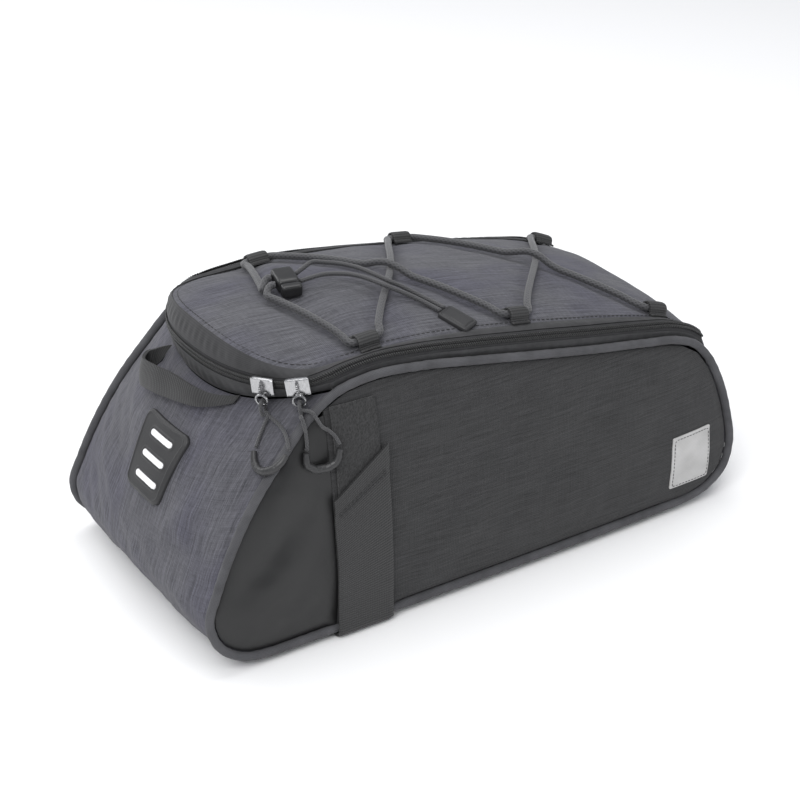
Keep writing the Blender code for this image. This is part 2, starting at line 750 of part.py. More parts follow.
def build_lid():
    """The crowned top panel, the two halves of the zipped band and the zip's chain."""
    x = REAR_X + LID_FRONT * LENGTH
    rails = band_rails(x - 6 * GAP, 13, 21)
    width = np.linalg.norm(rails[2] - rails[0], axis=1)
    half_zip = (ZIP_WIDTH / 2) / width
    gap = GAP / width
    under_lid = np.minimum((WALL + 4 * GAP) / width, 0.7 * (0.5 - half_zip - 3 * gap))
    forward = np.gradient(rails[1], axis=0)
    for name, low, high, inner_high in (
        ("zip_band_lower", 0 * gap, 0.5 - half_zip - gap, 0.5 - half_zip - gap),
        ("zip_chain", 0.5 - half_zip, 0.5 + half_zip, 0.5 + half_zip),
        ("zip_band_upper", 0.5 + half_zip + 2 * gap, 1 - gap, 1 - gap - under_lid),
    ):
        outer, inner = [], []
        for share in (0, 0.5, 1):
            outer.append(on_band(rails, low + share * (high - low)))
            w = low + share * (inner_high - low)
            inward = np.cross(forward, on_band(rails, w + 0.1) - on_band(rails, w - 0.1))
            inward /= np.linalg.norm(inward, axis=1)[:, None]
            inner.append(on_band(rails, w) + BAND_WALL * inward)
        finish = NYLON if name == "zip_chain" else BLACK_CLOTH
        shell(name, np.stack(outer, 1), np.stack(inner, 1), finish)
    seam = band_rails(x, 12, 25)[2][:, :2]
    middle = seam.mean(axis=0)
    seam = seam + (middle - seam) * GAP / np.linalg.norm(middle - seam, axis=1)[:, None]
    front = np.linspace(seam[-1], seam[0], 9)[1:-1]
    border = np.vstack([seam, front])[::-1]

    def place(flat):
        return np.stack([flat[:, 0], flat[:, 1], lid_z(flat[:, 0], flat[:, 1])], 1)

    patch("lid_panel", border, place, WALL, HEATHER)


def build_straps():
    """On each side a strip of loop tape and the webbing strap that closes on it."""
    middle = REAR_X + STRAP_X * LENGTH
    for side, word in ((-1, "right"), (1, "left")):
        x = middle + LOOP_STRIP_WIDTH * np.linspace(-0.5, 0.5, 4)
        z = BASE_DROP + SIDE_HEIGHT * np.linspace(STRIP_TOP, 0.09, 12)[:, None]
        zz, xx = z + 0 * x, x + 0 * z
        grid = np.stack([xx, side * (side_y(xx, zz) + GAP), zz], -1)
        sheet(f"loop_strip_{word}", grid, LOOP_STRIP_THICKNESS, WEBBING, offset=1.0, flip=side < 0)

        x = middle + STRAP_WIDTH * np.linspace(-0.5, 0.5, 5)
        share = np.linspace(0, 1, 5)
        cut = BASE_DROP + SIDE_HEIGHT * (STRAP_CUT_LOW + (STRAP_CUT_HIGH - STRAP_CUT_LOW) * share)
        foot = BASE_DROP + 0.11 * SIDE_HEIGHT
        down = np.linspace(0, 1, 9)[:, None]
        zz = cut * (1 - down) + foot * down
        xx = x + 0 * zz
        off = 2 * GAP + LOOP_STRIP_THICKNESS + STRAP_THICKNESS / 2
        upper = np.stack([xx, side * (side_y(xx, zz) + off), zz], -1)
        edge_z = BASE_DROP + PIPING_SINK
        edge_y = side_half(middle, edge_z) - PIPING_SINK
        drop = edge_z - STRAP_THICKNESS / 2
        turn = np.radians(np.linspace(0, 90, 6))[:, None]
        zz = edge_z - drop * np.sin(turn) + 0 * x
        yy = edge_y + drop * np.cos(turn) + 0 * x
        bend = np.stack([x + 0 * zz, side * yy, zz], -1)
        inner = WIDTH / 2 - STRAP_UNDER + GAP
        yy = np.linspace(edge_y, inner, 5)[1:, None] + 0 * x
        under = np.stack([x + 0 * yy, side * yy, 0 * yy + STRAP_THICKNESS / 2], -1)
        grid = np.concatenate([upper, bend, under])
        sheet(f"webbing_strap_{word}", grid, STRAP_THICKNESS, WEBBING, offset=0.0, flip=side > 0)


def rear_surface(y, along_place, off):
    """Points that stand off the rear panel by off, at y across and a place on the outline."""
    y, s = np.broadcast_arrays(np.asarray(y, float), np.asarray(along_place, float))

    def at(yy, ss):
        x, z, *_ = outline_at(ss)
        return girth(ss, yy / (side_half(x, z) - SEAM_INSET))

    step = 0.001
    across = at(y + step, s) - at(y - step, s)
    down = at(y, s + step) - at(y, s - step)
    normal = np.cross(across, down)
    normal /= np.linalg.norm(normal, axis=-1)[..., None]
    return at(y, s) + normal * (np.asarray(off)[..., None] if np.ndim(off) else off)


def build_rear_patch():
    """The rubber patch with its three reflective bars, and the side label."""
    middle = rear_place(BASE_DROP + PATCH_Z * SIDE_HEIGHT)
    border = rounded_rectangle(PATCH_BOTTOM, PATCH_HEIGHT, PATCH_CORNER, top_width=PATCH_TOP)

    def place(flat, off=GAP):
        return rear_surface(flat[:, 0] + PATCH_Y * WIDTH, middle - flat[:, 1], off)

    few = (1.0, 0.85, 0.5)
    patch("light_patch", border, place, PATCH_THICKNESS, RUBBER, offset=1.0, flip=True, rings=few)
    bar = rounded_rectangle(BAR_LENGTH, BAR_WIDTH, 0.49 * BAR_WIDTH, per_side=4)
    lift = 2 * GAP + PATCH_THICKNESS
    for i, word in enumerate(("upper", "middle", "lower")):
        shift = np.array([BAR_Y, (1 - i) * BAR_PITCH])

        def on_patch(flat, shift=shift):
            return place(flat + shift, lift)

        patch(f"reflective_bar_{word}", bar, on_patch, BAR_THICKNESS, REFLECTOR, 1.0, True, (1.0, 0.4))
    border = rounded_rectangle(LABEL_WIDTH, LABEL_HEIGHT, 0.04 * LABEL_WIDTH, per_corner=3)
    border = border + [REAR_X + LABEL_X * LENGTH, BASE_DROP + LABEL_Z * SIDE_HEIGHT]

    def on_side(flat):
        return np.stack([flat[:, 0], -side_y(flat[:, 0], flat[:, 1]) - GAP, flat[:, 1]], 1)

    patch("side_label", border, on_side, LABEL_THICKNESS, LABEL, 1.0, False, (1.0, 0.6, 0.2))


def build_handle():
    """A webbing grab loop, sewn flat to the rear panel at its ends and bowed away between them."""
    run = smooth_curve(HANDLE, per_span=5)
    y = HANDLE_SPAN * run[:, 0]
    out, up, wide = np.clip(run[:, 1:].T, [[0], [-1], [0]], 1)
    top = rear_place(BASE_DROP + HANDLE_Z * SIDE_HEIGHT)
    edge = band_dip_place(y / (side_half(KNOT["rear_top"][0], KNOT["rear_top"][1]) - SEAM_INSET)) + 2 * GAP
    upright = np.clip(out / 0.4, 0, 1)[:, None]
    off = HANDLE_THICKNESS / 2 + GAP
    flat = rear_surface(y, top, off)
    rows = []
    for share in (-0.5, 0, 0.5):
        lying = rear_surface(y, edge + (0.5 - share) * wide * HANDLE_WIDTH, off)
        standing = flat + (share * wide * HANDLE_WIDTH)[:, None] * [0.17, 0, 0.985]
        row = lying * (1 - upright) + standing * upright
        row += out[:, None] * [-HANDLE_BOW, 0, 0] + up[:, None] * upright * [0, 0, HANDLE_WIDTH]
        rows.append(row)
    sheet("rear_handle", np.stack(rows, 0), HANDLE_THICKNESS, WEBBING, offset=0.0)


def on_lid(x, y, off):
    """A point that stands over the lid's top by off."""

    def at(a, b):
        return np.stack(np.broadcast_arrays(a, b, lid_z(a, b)), -1)

    step = 0.002
    normal = np.cross(at(x + step, y) - at(x - step, y), at(x, y + step) - at(x, y - step))
    normal /= np.linalg.norm(normal, axis=-1)[..., None]
    return at(x, y) + normal * (np.asarray(off)[..., None] if np.ndim(off) else off)


def anchor_place(which, side):
    right, left = next(row[1:] for row in ANCHORS if row[0] == which)
    x = REAR_X + (left if side > 0 else right) * LENGTH
    return np.array([x, side * (lid_half(x) - ANCHOR_INSET)])


def lacing_route(start, tabs, over):
    """The elastic cord's middle line over the lid: from start through the tabs, each an anchor and
    its side. It runs along the seam inside a tab, turns outside it and humps over the places in over."""
    half = np.array([ANCHOR_WIDTH / 2, 0])
    knots = [start]
    for which, side in tabs:
        middle = anchor_place(which, side)
        run = middle - half - knots[-1]
        centre = (middle - half + knots[-1]) / 2 + [CROSS_BOW if side > 0 else 0, 0]
        run *= LACING_TURN / np.linalg.norm(run)
        if len(knots) > 1:
            knots += [knots[-1] + run, centre]
        knots += [middle - half - run, middle - half, middle - 0.5 * half, middle + 0.5 * half, middle + half]
    flat = smooth_curve(knots, per_span=30)
    flat = evenly(flat, int(along(flat)[-1] / (1.6 * BUNGEE)))
    lift = np.full(len(flat), BUNGEE / 2 + 2 * GAP)
    for spot in over:
        near = np.linalg.norm(flat - spot, axis=1)
        lift += (BUNGEE + GAP) * np.exp(-((near / (2.6 * BUNGEE)) ** 2.4))
    return on_lid(flat[:, 0], flat[:, 1], lift)


def lacing_cross(low, high):
    """Where the strand from low's left tab meets the one from high's left tab, over the middle."""
    start, end = anchor_place(low, 1), anchor_place(high, -1)
    slope = (end - start) / (end[1] - start[1])
    y = 0.8 * CROSS_BOW / (2 * slope[0])
    return start + (y - start[1]) * slope


def lock_frame():
    """The cord lock's centre, and its axes: along the bag, along the lock, and up."""
    x, y = REAR_X + LOCK_X * LENGTH, LOCK_Y * WIDTH
    centre = on_lid(x, y, LOCK_OFF)
    axis = np.array([-0.2, -0.97, -0.11])
    axis /= np.linalg.norm(axis)
    fore = np.cross(axis, [0, 0, 1.0])
    fore *= -1 / np.linalg.norm(fore)
    return centre, fore, axis, np.cross(fore, axis)


def build_lock():
    """The cord lock's body with its plunger, which lies across the bag on the lid."""
    centre, fore, axis, up = lock_frame()
    size = (LOCK_WIDTH, LOCK_LENGTH, LOCK_HEIGHT)
    block("cord_lock_body", size, centre, (fore, axis, up), NYLON, bevel=0.24 * LOCK_HEIGHT)
    away = LOCK_LENGTH / 2 + GAP + PLUNGER_LENGTH / 2
    size = (0.92 * LOCK_WIDTH, PLUNGER_LENGTH, 0.86 * LOCK_HEIGHT)
    block("cord_lock_plunger", size, centre + away * axis, (fore, axis, up), NYLON, bevel=0.2 * LOCK_HEIGHT)


def lock_mouth(side, far):
    """The end of a cord at the lock: side -1 is its rear face, and far 1 its left hole."""
    centre, fore, axis, _ = lock_frame()
    return centre + side * (LOCK_WIDTH / 2 + 2 * GAP) * fore - far * HOLE_PITCH / 2 * axis


def build_lacing():
    """One elastic cord in two halves, from the cord lock to the two front tabs."""
    for word, far, stops, cross in (
        ("left", 1, (("rear", 1), ("middle", -1), ("front", 1)), ("rear", "middle")),
        ("right", -1, (("rear", -1), ("middle", 1), ("front", -1)), ("middle", "front")),
    ):
        mouth = lock_mouth(-1, far)
        start = mouth[:2] - np.array([1.7, 0.9]) * BUNGEE
        route = lacing_route(start, stops, [lacing_cross(*cross)])
        raised = route[0] + [0, 0, 2 * GAP]
        knots = [mouth, mouth - 0.5 * BUNGEE * lock_frame()[1], raised, route[1]]
        lead = smooth_curve(knots, per_span=3)
        tube(f"bungee_{word}", np.vstack([lead[:-1], route[1:]]), BUNGEE / 2, CORD)


def build_tails():
    """The two drawcord tails from the lock, sewn into one flat cord end."""
    run = np.array(CORD_END_RUN)
    side = np.array([-run[1], run[0]])
    edge = np.array([REAR_X + CORD_END_X * LENGTH, CORD_END_Y * WIDTH])
    for word, far, rows in (("a", 1, TAIL_A), ("b", -1, TAIL_B)):
        along_bag, across, lift = np.array(rows).T
        knots = on_lid(REAR_X + along_bag * LENGTH, across * WIDTH, lift)
        spot = edge + far * 0.8 * TAIL * side
        last = [on_lid(*(spot - share * TAIL * run), TAIL / 2 + GAP) for share in (2.0, 0.0)]
        mouth = lock_mouth(1, far)
        lead = mouth + TAIL * lock_frame()[1]
        line = smooth_curve(np.vstack([mouth, lead, knots, last]), per_span=12)
        line = evenly(line, int(along(line)[-1] / (2.4 * TAIL)))
        tube(f"drawcord_tail_{word}", line, TAIL / 2, CORD)
    border = rounded_rectangle(CORD_END_LENGTH, CORD_END_WIDTH, 0.15 * CORD_END_WIDTH, per_corner=3)
    border = border @ np.array([run, side]) + edge + run * (CORD_END_LENGTH / 2 + 1.5 * GAP)

    def place(flat):
        return on_lid(flat[:, 0], flat[:, 1], GAP)

    patch("cord_end", border, place, CORD_END_THICKNESS, RUBBER, 1.0, False, (1.0, 0.7, 0.3))


def slider_frame(share):
    """A slider's centre on the zip's chain, and its axes: along the zip, down and outward."""
    rails = band_rails(REAR_X + LID_FRONT * LENGTH, 13, 21)
    line = evenly(on_band(rails, 0.5), 200)
    behind = line[:, 0] < KNOT["shoulder"][0]
    step = int(np.argmax(behind & (line[:, 1] > -share * WIDTH / 2)))
    rail = on_band(rails, 0.4)
    lower = rail[np.argmin(np.linalg.norm(rail - line[step], axis=1))]
    run = line[step + 1] - line[step - 1]
    run /= np.linalg.norm(run)
    down = lower - line[step]
    down -= run * (down @ run)
    down /= np.linalg.norm(down)
    out = np.cross(run, down)
    out *= np.sign(out @ [line[step][0] - CENTRE_SHIFT, line[step][1], 0])
    return line[step], run, down, out


def build_slider(word, share):
    """A zip slider: its body, the bridge over it and the eye under it. Returns the eye's centre."""
    centre, run, down, out = slider_frame(share)
    lift = GAP + SLIDER_HEIGHT / 2
    size = (SLIDER_LENGTH, SLIDER_WIDTH, 0.7 * SLIDER_HEIGHT)
    middle = centre + 0.85 * lift * out
    made = block(f"zip_slider_{word}", size, middle, (run, down, out), METAL, bevel=0.25 * SLIDER_HEIGHT)
    size = (0.5 * SLIDER_LENGTH, 0.8 * SLIDER_WIDTH, 0.6 * SLIDER_HEIGHT)
    middle = centre + 1.9 * lift * out
    bridge = block(f"bridge_{word}", size, middle, (run, down, out), METAL, 0.15 * SLIDER_HEIGHT, CUTTERS)
    join_to(made, bridge)
    eye = centre + 2.25 * lift * out + (0.4 * SLIDER_WIDTH + 0.85 * EYE_RADIUS) * down
    join_to(made, ring(f"eye_{word}", eye, (run, down, out), EYE_RADIUS, EYE_WIRE))
    return eye, down, out


def build_pulls():
    """Each slider's cord, which goes through its eye, and the moulded grip on the cord's ends."""

    def on_rear(rows):
        across, high, lift = np.array(rows).T
        s = rear_place(BASE_DROP + high * SIDE_HEIGHT)
        return np.stack([rear_surface(-a * WIDTH / 2, b, c) for a, b, c in zip(across, s, lift)])

    def on_side(rows):
        across, high, lift = np.array(rows).T
        x, z = REAR_X + across * LENGTH, BASE_DROP + high * SIDE_HEIGHT
        return np.stack([x, -side_y(x, z) - lift, z], 1)

    rear_front, rear_back = on_rear(PULL_REAR), on_rear(PULL_REAR_BACK)
    side_front = np.vstack([on_rear(PULL_OVER), on_side(PULL_SIDE)])
    side_back = np.vstack([on_rear(PULL_OVER_BACK), on_side(PULL_SIDE_BACK)])
    for word, share, front, back, grip in (
        ("rear", SLIDER_REAR, rear_front, rear_back, on_rear(GRIP_REAR)),
        ("side", SLIDER_SIDE, side_front, side_back, on_side(GRIP_SIDE)),
    ):
        eye, down, out = build_slider(word, share)
        clear = EYE_WIRE + 3 * GAP + PULL_CORD / 2
        low = eye + EYE_RADIUS * down
        turn = np.radians(np.linspace(0, 180, 7))[:, None]
        arc = low + clear * (np.cos(turn) * out - np.sin(turn) * down)
        lead = 0.5 * clear * down
        strands = []
        for rows, end in ((front, arc[0]), (back, arc[-1])):
            strand = smooth_curve(np.vstack([rows[::-1], end + lead, end]), per_span=8)
            strands.append(evenly(strand, int(along(strand)[-1] / (1.6 * PULL_CORD))))
        line = np.vstack([strands[0][:-1], arc, strands[1][-2::-1]])
        tube(f"pull_cord_{word}", line, PULL_CORD / 2, CORD)
        handle = evenly(smooth_curve(grip, per_span=8), 18)
        taper = 0.68 + 0.32 * np.sin(np.linspace(0, math.pi, len(handle)))
        tube(f"pull_grip_{word}", handle, GRIP / 2, RUBBER, taper=taper)


def build_anchors():
    """Six webbing tabs, each folded over the cord beside the lid's seam."""
    for which, *_ in ANCHORS:
        for side, word in ((-1, "right"), (1, "left")):
            middle = anchor_place(which, side)
            x = middle[0] + ANCHOR_WIDTH * np.linspace(-0.42, 0.42, 4)
            radius = BUNGEE / 2 + 3 * GAP + ANCHOR_THICKNESS / 2
            foot = GAP + ANCHOR_THICKNESS / 2
            rise = BUNGEE / 2 + GAP
            out = radius + 0.003
            rows = [on_lid(x, middle[1] + out, foot)]
            for turn in np.radians(np.linspace(4, 176, 9)):
                rows.append(on_lid(x, middle[1] + radius * math.cos(turn), rise + radius * math.sin(turn)))
            rows.append(on_lid(x, middle[1] - out, foot))
            name = f"cord_tab_{which}_{word}"
            sheet(name, np.stack(rows, 0), ANCHOR_THICKNESS, WEBBING, offset=0.0, flip=True)


build_rear()
build_base()
build_front()
build_sides()
build_lid()
build_straps()
build_rear_patch()
build_handle()
build_lacing()
build_anchors()
build_lock()
build_tails()
build_pulls()
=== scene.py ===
"""The looks of the bicycle rack bag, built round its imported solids: padded heather panels, piping,
a coil zipper, ribbed webbing, elastic lacing and a light patch. Metres, in the solids' own frame:
+X towards the saddle, +Y the bicycle's left, +Z up."""

import json
import math

import bmesh
import bpy
import numpy as np
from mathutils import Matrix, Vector

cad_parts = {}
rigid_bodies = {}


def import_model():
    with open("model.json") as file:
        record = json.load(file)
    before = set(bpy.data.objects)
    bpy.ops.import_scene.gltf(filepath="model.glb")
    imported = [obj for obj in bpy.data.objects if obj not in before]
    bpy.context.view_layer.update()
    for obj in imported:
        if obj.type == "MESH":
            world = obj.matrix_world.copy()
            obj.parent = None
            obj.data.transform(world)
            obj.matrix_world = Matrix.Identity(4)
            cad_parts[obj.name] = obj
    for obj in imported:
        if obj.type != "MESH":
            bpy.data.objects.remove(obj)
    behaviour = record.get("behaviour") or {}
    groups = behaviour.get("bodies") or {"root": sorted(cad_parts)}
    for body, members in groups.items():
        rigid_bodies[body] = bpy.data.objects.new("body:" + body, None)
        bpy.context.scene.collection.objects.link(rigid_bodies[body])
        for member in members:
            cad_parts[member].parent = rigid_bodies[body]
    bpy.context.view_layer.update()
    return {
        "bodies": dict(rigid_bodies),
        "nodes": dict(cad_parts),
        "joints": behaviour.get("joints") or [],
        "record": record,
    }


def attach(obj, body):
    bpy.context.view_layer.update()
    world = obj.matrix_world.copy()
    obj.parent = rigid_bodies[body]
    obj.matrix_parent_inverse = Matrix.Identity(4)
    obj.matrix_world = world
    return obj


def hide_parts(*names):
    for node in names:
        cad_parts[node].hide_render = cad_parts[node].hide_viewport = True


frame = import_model()
BODY = "root"

# Overall sizes
LENGTH = 0.3515  # side panels, rear piping to front piping
WIDTH = 0.176  # across the side panels at the base
SIDE_HEIGHT = 0.139  # side panels, lower piping to upper piping
BASE_DROP = 0.005  # how far the padded base stands below the lower piping
REAR_BULGE = 0.021  # the rear panel's swell at the lid, along the bag
FRONT_BULGE = 0.009
SIDE_BULGE = 0.0045
CENTRE_SHIFT = -0.0026  # brings the bag's box to the middle of X
LEAN = 0.08  # side panels lean in by this much of their height
NOSE = 0.003  # side panels draw in by this much at the front

# Cloth and padding
WALL = 0.003
BASE_WALL = 0.0045
GAP = 0.0003
PIPING_RADIUS = 0.0025
PIPING_SINK = 0.0006  # how deep the piping's centre lies inside the corner

# Lid and zipper
LID_RISE = 0.0142  # the lid's seam over the side panels
CROWN = 0.0098
BAND_INSET = 0.0085
BAND_BULGE = 0.0046
LID_REAR_INSET = 0.001
LID_CORNER_POWER = 2.3
ZIP_WIDTH = 0.0066
SLIDER_LENGTH = 0.0125
SLIDER_WIDTH = 0.0095
SLIDER_HEIGHT = 0.0050
EYE_RADIUS = 0.0031  # of the ring under each slider that its pull cord goes through
EYE_WIRE = 0.0007

# Webbing
STRAP_WIDTH = 0.034
STRAP_THICKNESS = 0.002
STRAP_UNDER = 0.042  # how far each strap runs in under the base
LOOP_STRIP_WIDTH = 0.026
LOOP_STRIP_THICKNESS = 0.0012
HANDLE_WIDTH = 0.015
HANDLE_THICKNESS = 0.0018
HANDLE_SPAN = 0.075
HANDLE_BOW = 0.0150
ANCHOR_WIDTH = 0.014
ANCHOR_THICKNESS = 0.0012
LACING_TURN = 0.011  # the cord turns over this length beside a tab
CROSS_BOW = 0.0045  # how far a strand that goes to the left side bows forward

# Rear patch and side label
PATCH_TOP = 0.043
PATCH_BOTTOM = 0.036
PATCH_HEIGHT = 0.046
PATCH_THICKNESS = 0.002
PATCH_CORNER = 0.005
BAR_LENGTH = 0.0215
BAR_WIDTH = 0.0036
BAR_THICKNESS = 0.0006
BAR_PITCH = 0.0128
LABEL_WIDTH = 0.030
LABEL_HEIGHT = 0.034
LABEL_THICKNESS = 0.0008

# Cords
BUNGEE = 0.004
TAIL = 0.0026
PULL_CORD = 0.0019
GRIP = 0.0046

# Cord lock and cord end
LOCK_LENGTH = 0.0165  # the body, across the bag
LOCK_WIDTH = 0.0125
LOCK_HEIGHT = 0.0085
PLUNGER_LENGTH = 0.0055
LOCK_OFF = 0.0064  # the lock's middle over the lid
HOLE_PITCH = 0.0078
CORD_END_WIDTH = 0.0125
CORD_END_LENGTH = 0.018
CORD_END_THICKNESS = 0.0022
CORD_END_RUN = (0.423, -0.906)  # the way it points, along the bag and to the left

SEAM_INSET = PIPING_SINK + PIPING_RADIUS + GAP
REAR_X = -LENGTH / 2 + CENTRE_SHIFT

# The side panel's outline, from the top of the rear round by the base to the front and back.
# x is a share of LENGTH from the rear, z one of SIDE_HEIGHT over the lower piping, and back, fore
# and down are the shares of the three swells that the panels between the side panels have there.
OUTLINE = (
    # name, x, z, back, fore, down
    ("apex", 0.288, 1.000, 1.00, 0.0, 0.0),
    ("shoulder", 0.234, 0.976, 1.00, 0.0, 0.0),
    ("rear_top", 0.188, 0.908, 1.00, 0.0, 0.0),
    ("rear_high", 0.140, 0.788, 0.92, 0.0, 0.0),
    ("rear_middle", 0.092, 0.651, 0.75, 0.0, 0.0),
    ("rear_low", 0.052, 0.500, 0.55, 0.0, 0.0),
    ("rear_swell", 0.018, 0.330, 0.38, 0.0, 0.0),
    ("rearmost", 0.000, 0.205, 0.22, 0.0, 0.0),
    ("rear_heel", 0.013, 0.095, 0.12, 0.0, 0.0),
    ("rear_tuck", 0.047, 0.024, 0.04, 0.0, 0.20),
    ("rear_foot", 0.100, 0.000, 0.00, 0.0, 0.80),
    ("base_rear", 0.170, 0.000, 0.00, 0.0, 1.00),
    ("base_middle", 0.500, 0.000, 0.00, 0.0, 1.00),
    ("base_front", 0.810, 0.000, 0.00, 0.0, 1.00),
    ("front_foot", 0.880, 0.000, 0.00, 0.0, 0.80),
    ("front_tuck", 0.945, 0.024, 0.00, 0.2, 0.20),
    ("front_heel", 0.986, 0.094, 0.00, 0.6, 0.0),
    ("foremost", 1.000, 0.200, 0.00, 1.0, 0.0),
    ("front_low", 0.992, 0.349, 0.00, 1.0, 0.0),
    ("front_middle", 0.969, 0.529, 0.00, 0.9, 0.0),
    ("front_high", 0.943, 0.645, 0.00, 0.6, 0.0),
    ("front_brow", 0.916, 0.714, 0.00, 0.3, 0.0),
    ("front_top", 0.877, 0.757, 0.00, 0.0, 0.0),
    ("top_front", 0.809, 0.790, 0.00, 0.0, 0.0),
    ("top_middle", 0.706, 0.833, 0.00, 0.0, 0.0),
    ("top_strap", 0.609, 0.878, 0.00, 0.0, 0.0),
    ("top_rise", 0.478, 0.940, 0.00, 0.0, 0.0),
    ("top_rear", 0.385, 0.982, 0.00, 0.0, 0.0),
)

# How the lid's seam stands over the side panels: x a share of LENGTH, rise one of LID_RISE and
# crown one of CROWN
LID = (
    # x, rise, crown
    (0.10, 0.49, 1.0),
    (0.29, 0.50, 1.0),
    (0.41, 0.72, 1.0),
    (0.49, 0.90, 1.0),
    (0.61, 1.00, 1.0),
    (0.73, 0.96, 0.9),
    (0.81, 0.82, 0.8),
    (0.87, 0.64, 0.75),
    (0.917, 0.52, 0.7),
    (0.94, 0.68, 0.6),
)
LID_FRONT = 0.938  # the lid's front edge, a share of LENGTH
BAND_DIP = 0.888  # the band's lower edge at the middle of the rear, a share of SIDE_HEIGHT
BAND_DIP_POWER = 2.6
BASE_ROUND = 0.14  # over this share of half the width the base rises to the piping

# Where the webbing, the label and the patch sit, as shares of LENGTH and SIDE_HEIGHT
STRAP_X = 0.256
STRAP_CUT_HIGH = 0.745
STRAP_CUT_LOW = 0.575
STRIP_TOP = 0.930
LABEL_X = 0.900
LABEL_Z = 0.215
PATCH_Y = -0.020  # share of WIDTH
BAR_Y = -0.0020  # from the patch's middle
PATCH_Z = 0.600
HANDLE_Z = 0.855
ANCHORS = (
    # name, the right tab's x, the left tab's x
    ("rear", 0.314, 0.318),
    ("middle", 0.582, 0.590),
    ("front", 0.860, 0.885),
)
ANCHOR_INSET = 0.0054  # from the lid's seam to the cord's middle
LOCK_X = 0.284
LOCK_Y = 0.028  # share of WIDTH
SLIDER_REAR = 0.632  # shares of half the WIDTH, to the right
SLIDER_SIDE = 0.773

# The grab handle's run from its right end to its left one
HANDLE = (
    # across (share of HANDLE_SPAN), out (of HANDLE_BOW), up and wide (of HANDLE_WIDTH)
    (-0.50, 0.00, 0.10, 0.34),
    (-0.40, 0.16, 0.12, 0.44),
    (-0.22, 0.44, 0.12, 0.72),
    (0.00, 0.60, 0.06, 0.94),
    (0.22, 0.86, -0.04, 1.00),
    (0.40, 1.00, -0.18, 1.00),
    (0.49, 0.80, -0.22, 1.00),
    (0.50, 0.42, -0.15, 0.90),
    (0.46, 0.05, 0.00, 0.70),
)

# The loops that hang from the two sliders. A rear row lies on the rear panel: across as a share of
# half the WIDTH to the right, high as a share of SIDE_HEIGHT. A side row lies on the side panel:
# across as a share of LENGTH from the rear. Lift is how high the middle of the cord or grip
# stands over the cloth, in metres.
PULL_REAR = (
    # across, high, lift: from under the eye down to the grip's inner end
    (0.676, 0.884, 0.0042),
    (0.684, 0.862, 0.0024),
    (0.690, 0.838, 0.0014),
    (0.708, 0.804, 0.0014),
    (0.728, 0.783, 0.0022),
)
PULL_REAR_BACK = (
    (0.668, 0.880, 0.0032),
    (0.735, 0.868, 0.0022),
    (0.800, 0.853, 0.0022),
    (0.868, 0.829, 0.0042),
    (0.922, 0.800, 0.0050),
)
GRIP_REAR = (
    (0.735, 0.772, 0.0028),
    (0.779, 0.743, 0.0028),
    (0.836, 0.727, 0.0038),
    (0.892, 0.727, 0.0058),
    (0.930, 0.742, 0.0068),
    (0.940, 0.765, 0.0068),
    (0.932, 0.785, 0.0062),
)
PULL_OVER = (
    # as a rear row, down to the piping
    (0.858, 0.893, 0.0054),
    (0.905, 0.876, 0.0058),
)
PULL_OVER_BACK = (
    (0.826, 0.908, 0.0050),
    (0.862, 0.910, 0.0050),
    (0.905, 0.906, 0.0060),
)
PULL_SIDE = (
    # as a side row, down to the grip's rear end
    (0.1770, 0.836, 0.0020),
    (0.1740, 0.803, 0.0026),
)
PULL_SIDE_BACK = (
    (0.2010, 0.874, 0.0036),
    (0.2120, 0.850, 0.0026),
    (0.2195, 0.822, 0.0042),
    (0.2225, 0.800, 0.0046),
)
GRIP_SIDE = (
    (0.1725, 0.790, 0.0028),
    (0.1715, 0.757, 0.0028),
    (0.1780, 0.730, 0.0028),
    (0.1930, 0.717, 0.0028),
    (0.2070, 0.725, 0.0040),
    (0.2170, 0.751, 0.0050),
    (0.2215, 0.786, 0.0050),
)

# The middle of the cord end's near edge: a share of LENGTH from the rear, one of WIDTH to the left
CORD_END_X = 0.4700
CORD_END_Y = -0.2740

# The two drawcord tails over the lid, from the lock to the cord end. Along is a share of LENGTH
# from the rear, across one of WIDTH to the left, and lift is in metres.
TAIL_A = (
    (0.326, 0.052, 0.0088),
    (0.365, 0.044, 0.0080),
    (0.390, 0.000, 0.0075),
    (0.404, -0.072, 0.0078),
    (0.414, -0.126, 0.0076),
    (0.434, -0.156, 0.0052),
    (0.455, -0.200, 0.0026),
)
TAIL_B = (
    (0.322, -0.016, 0.0072),
    (0.348, -0.022, 0.0070),
    (0.374, -0.052, 0.0072),
    (0.391, -0.110, 0.0078),
    (0.405, -0.160, 0.0074),
    (0.424, -0.184, 0.0052),
    (0.447, -0.222, 0.0026),
)


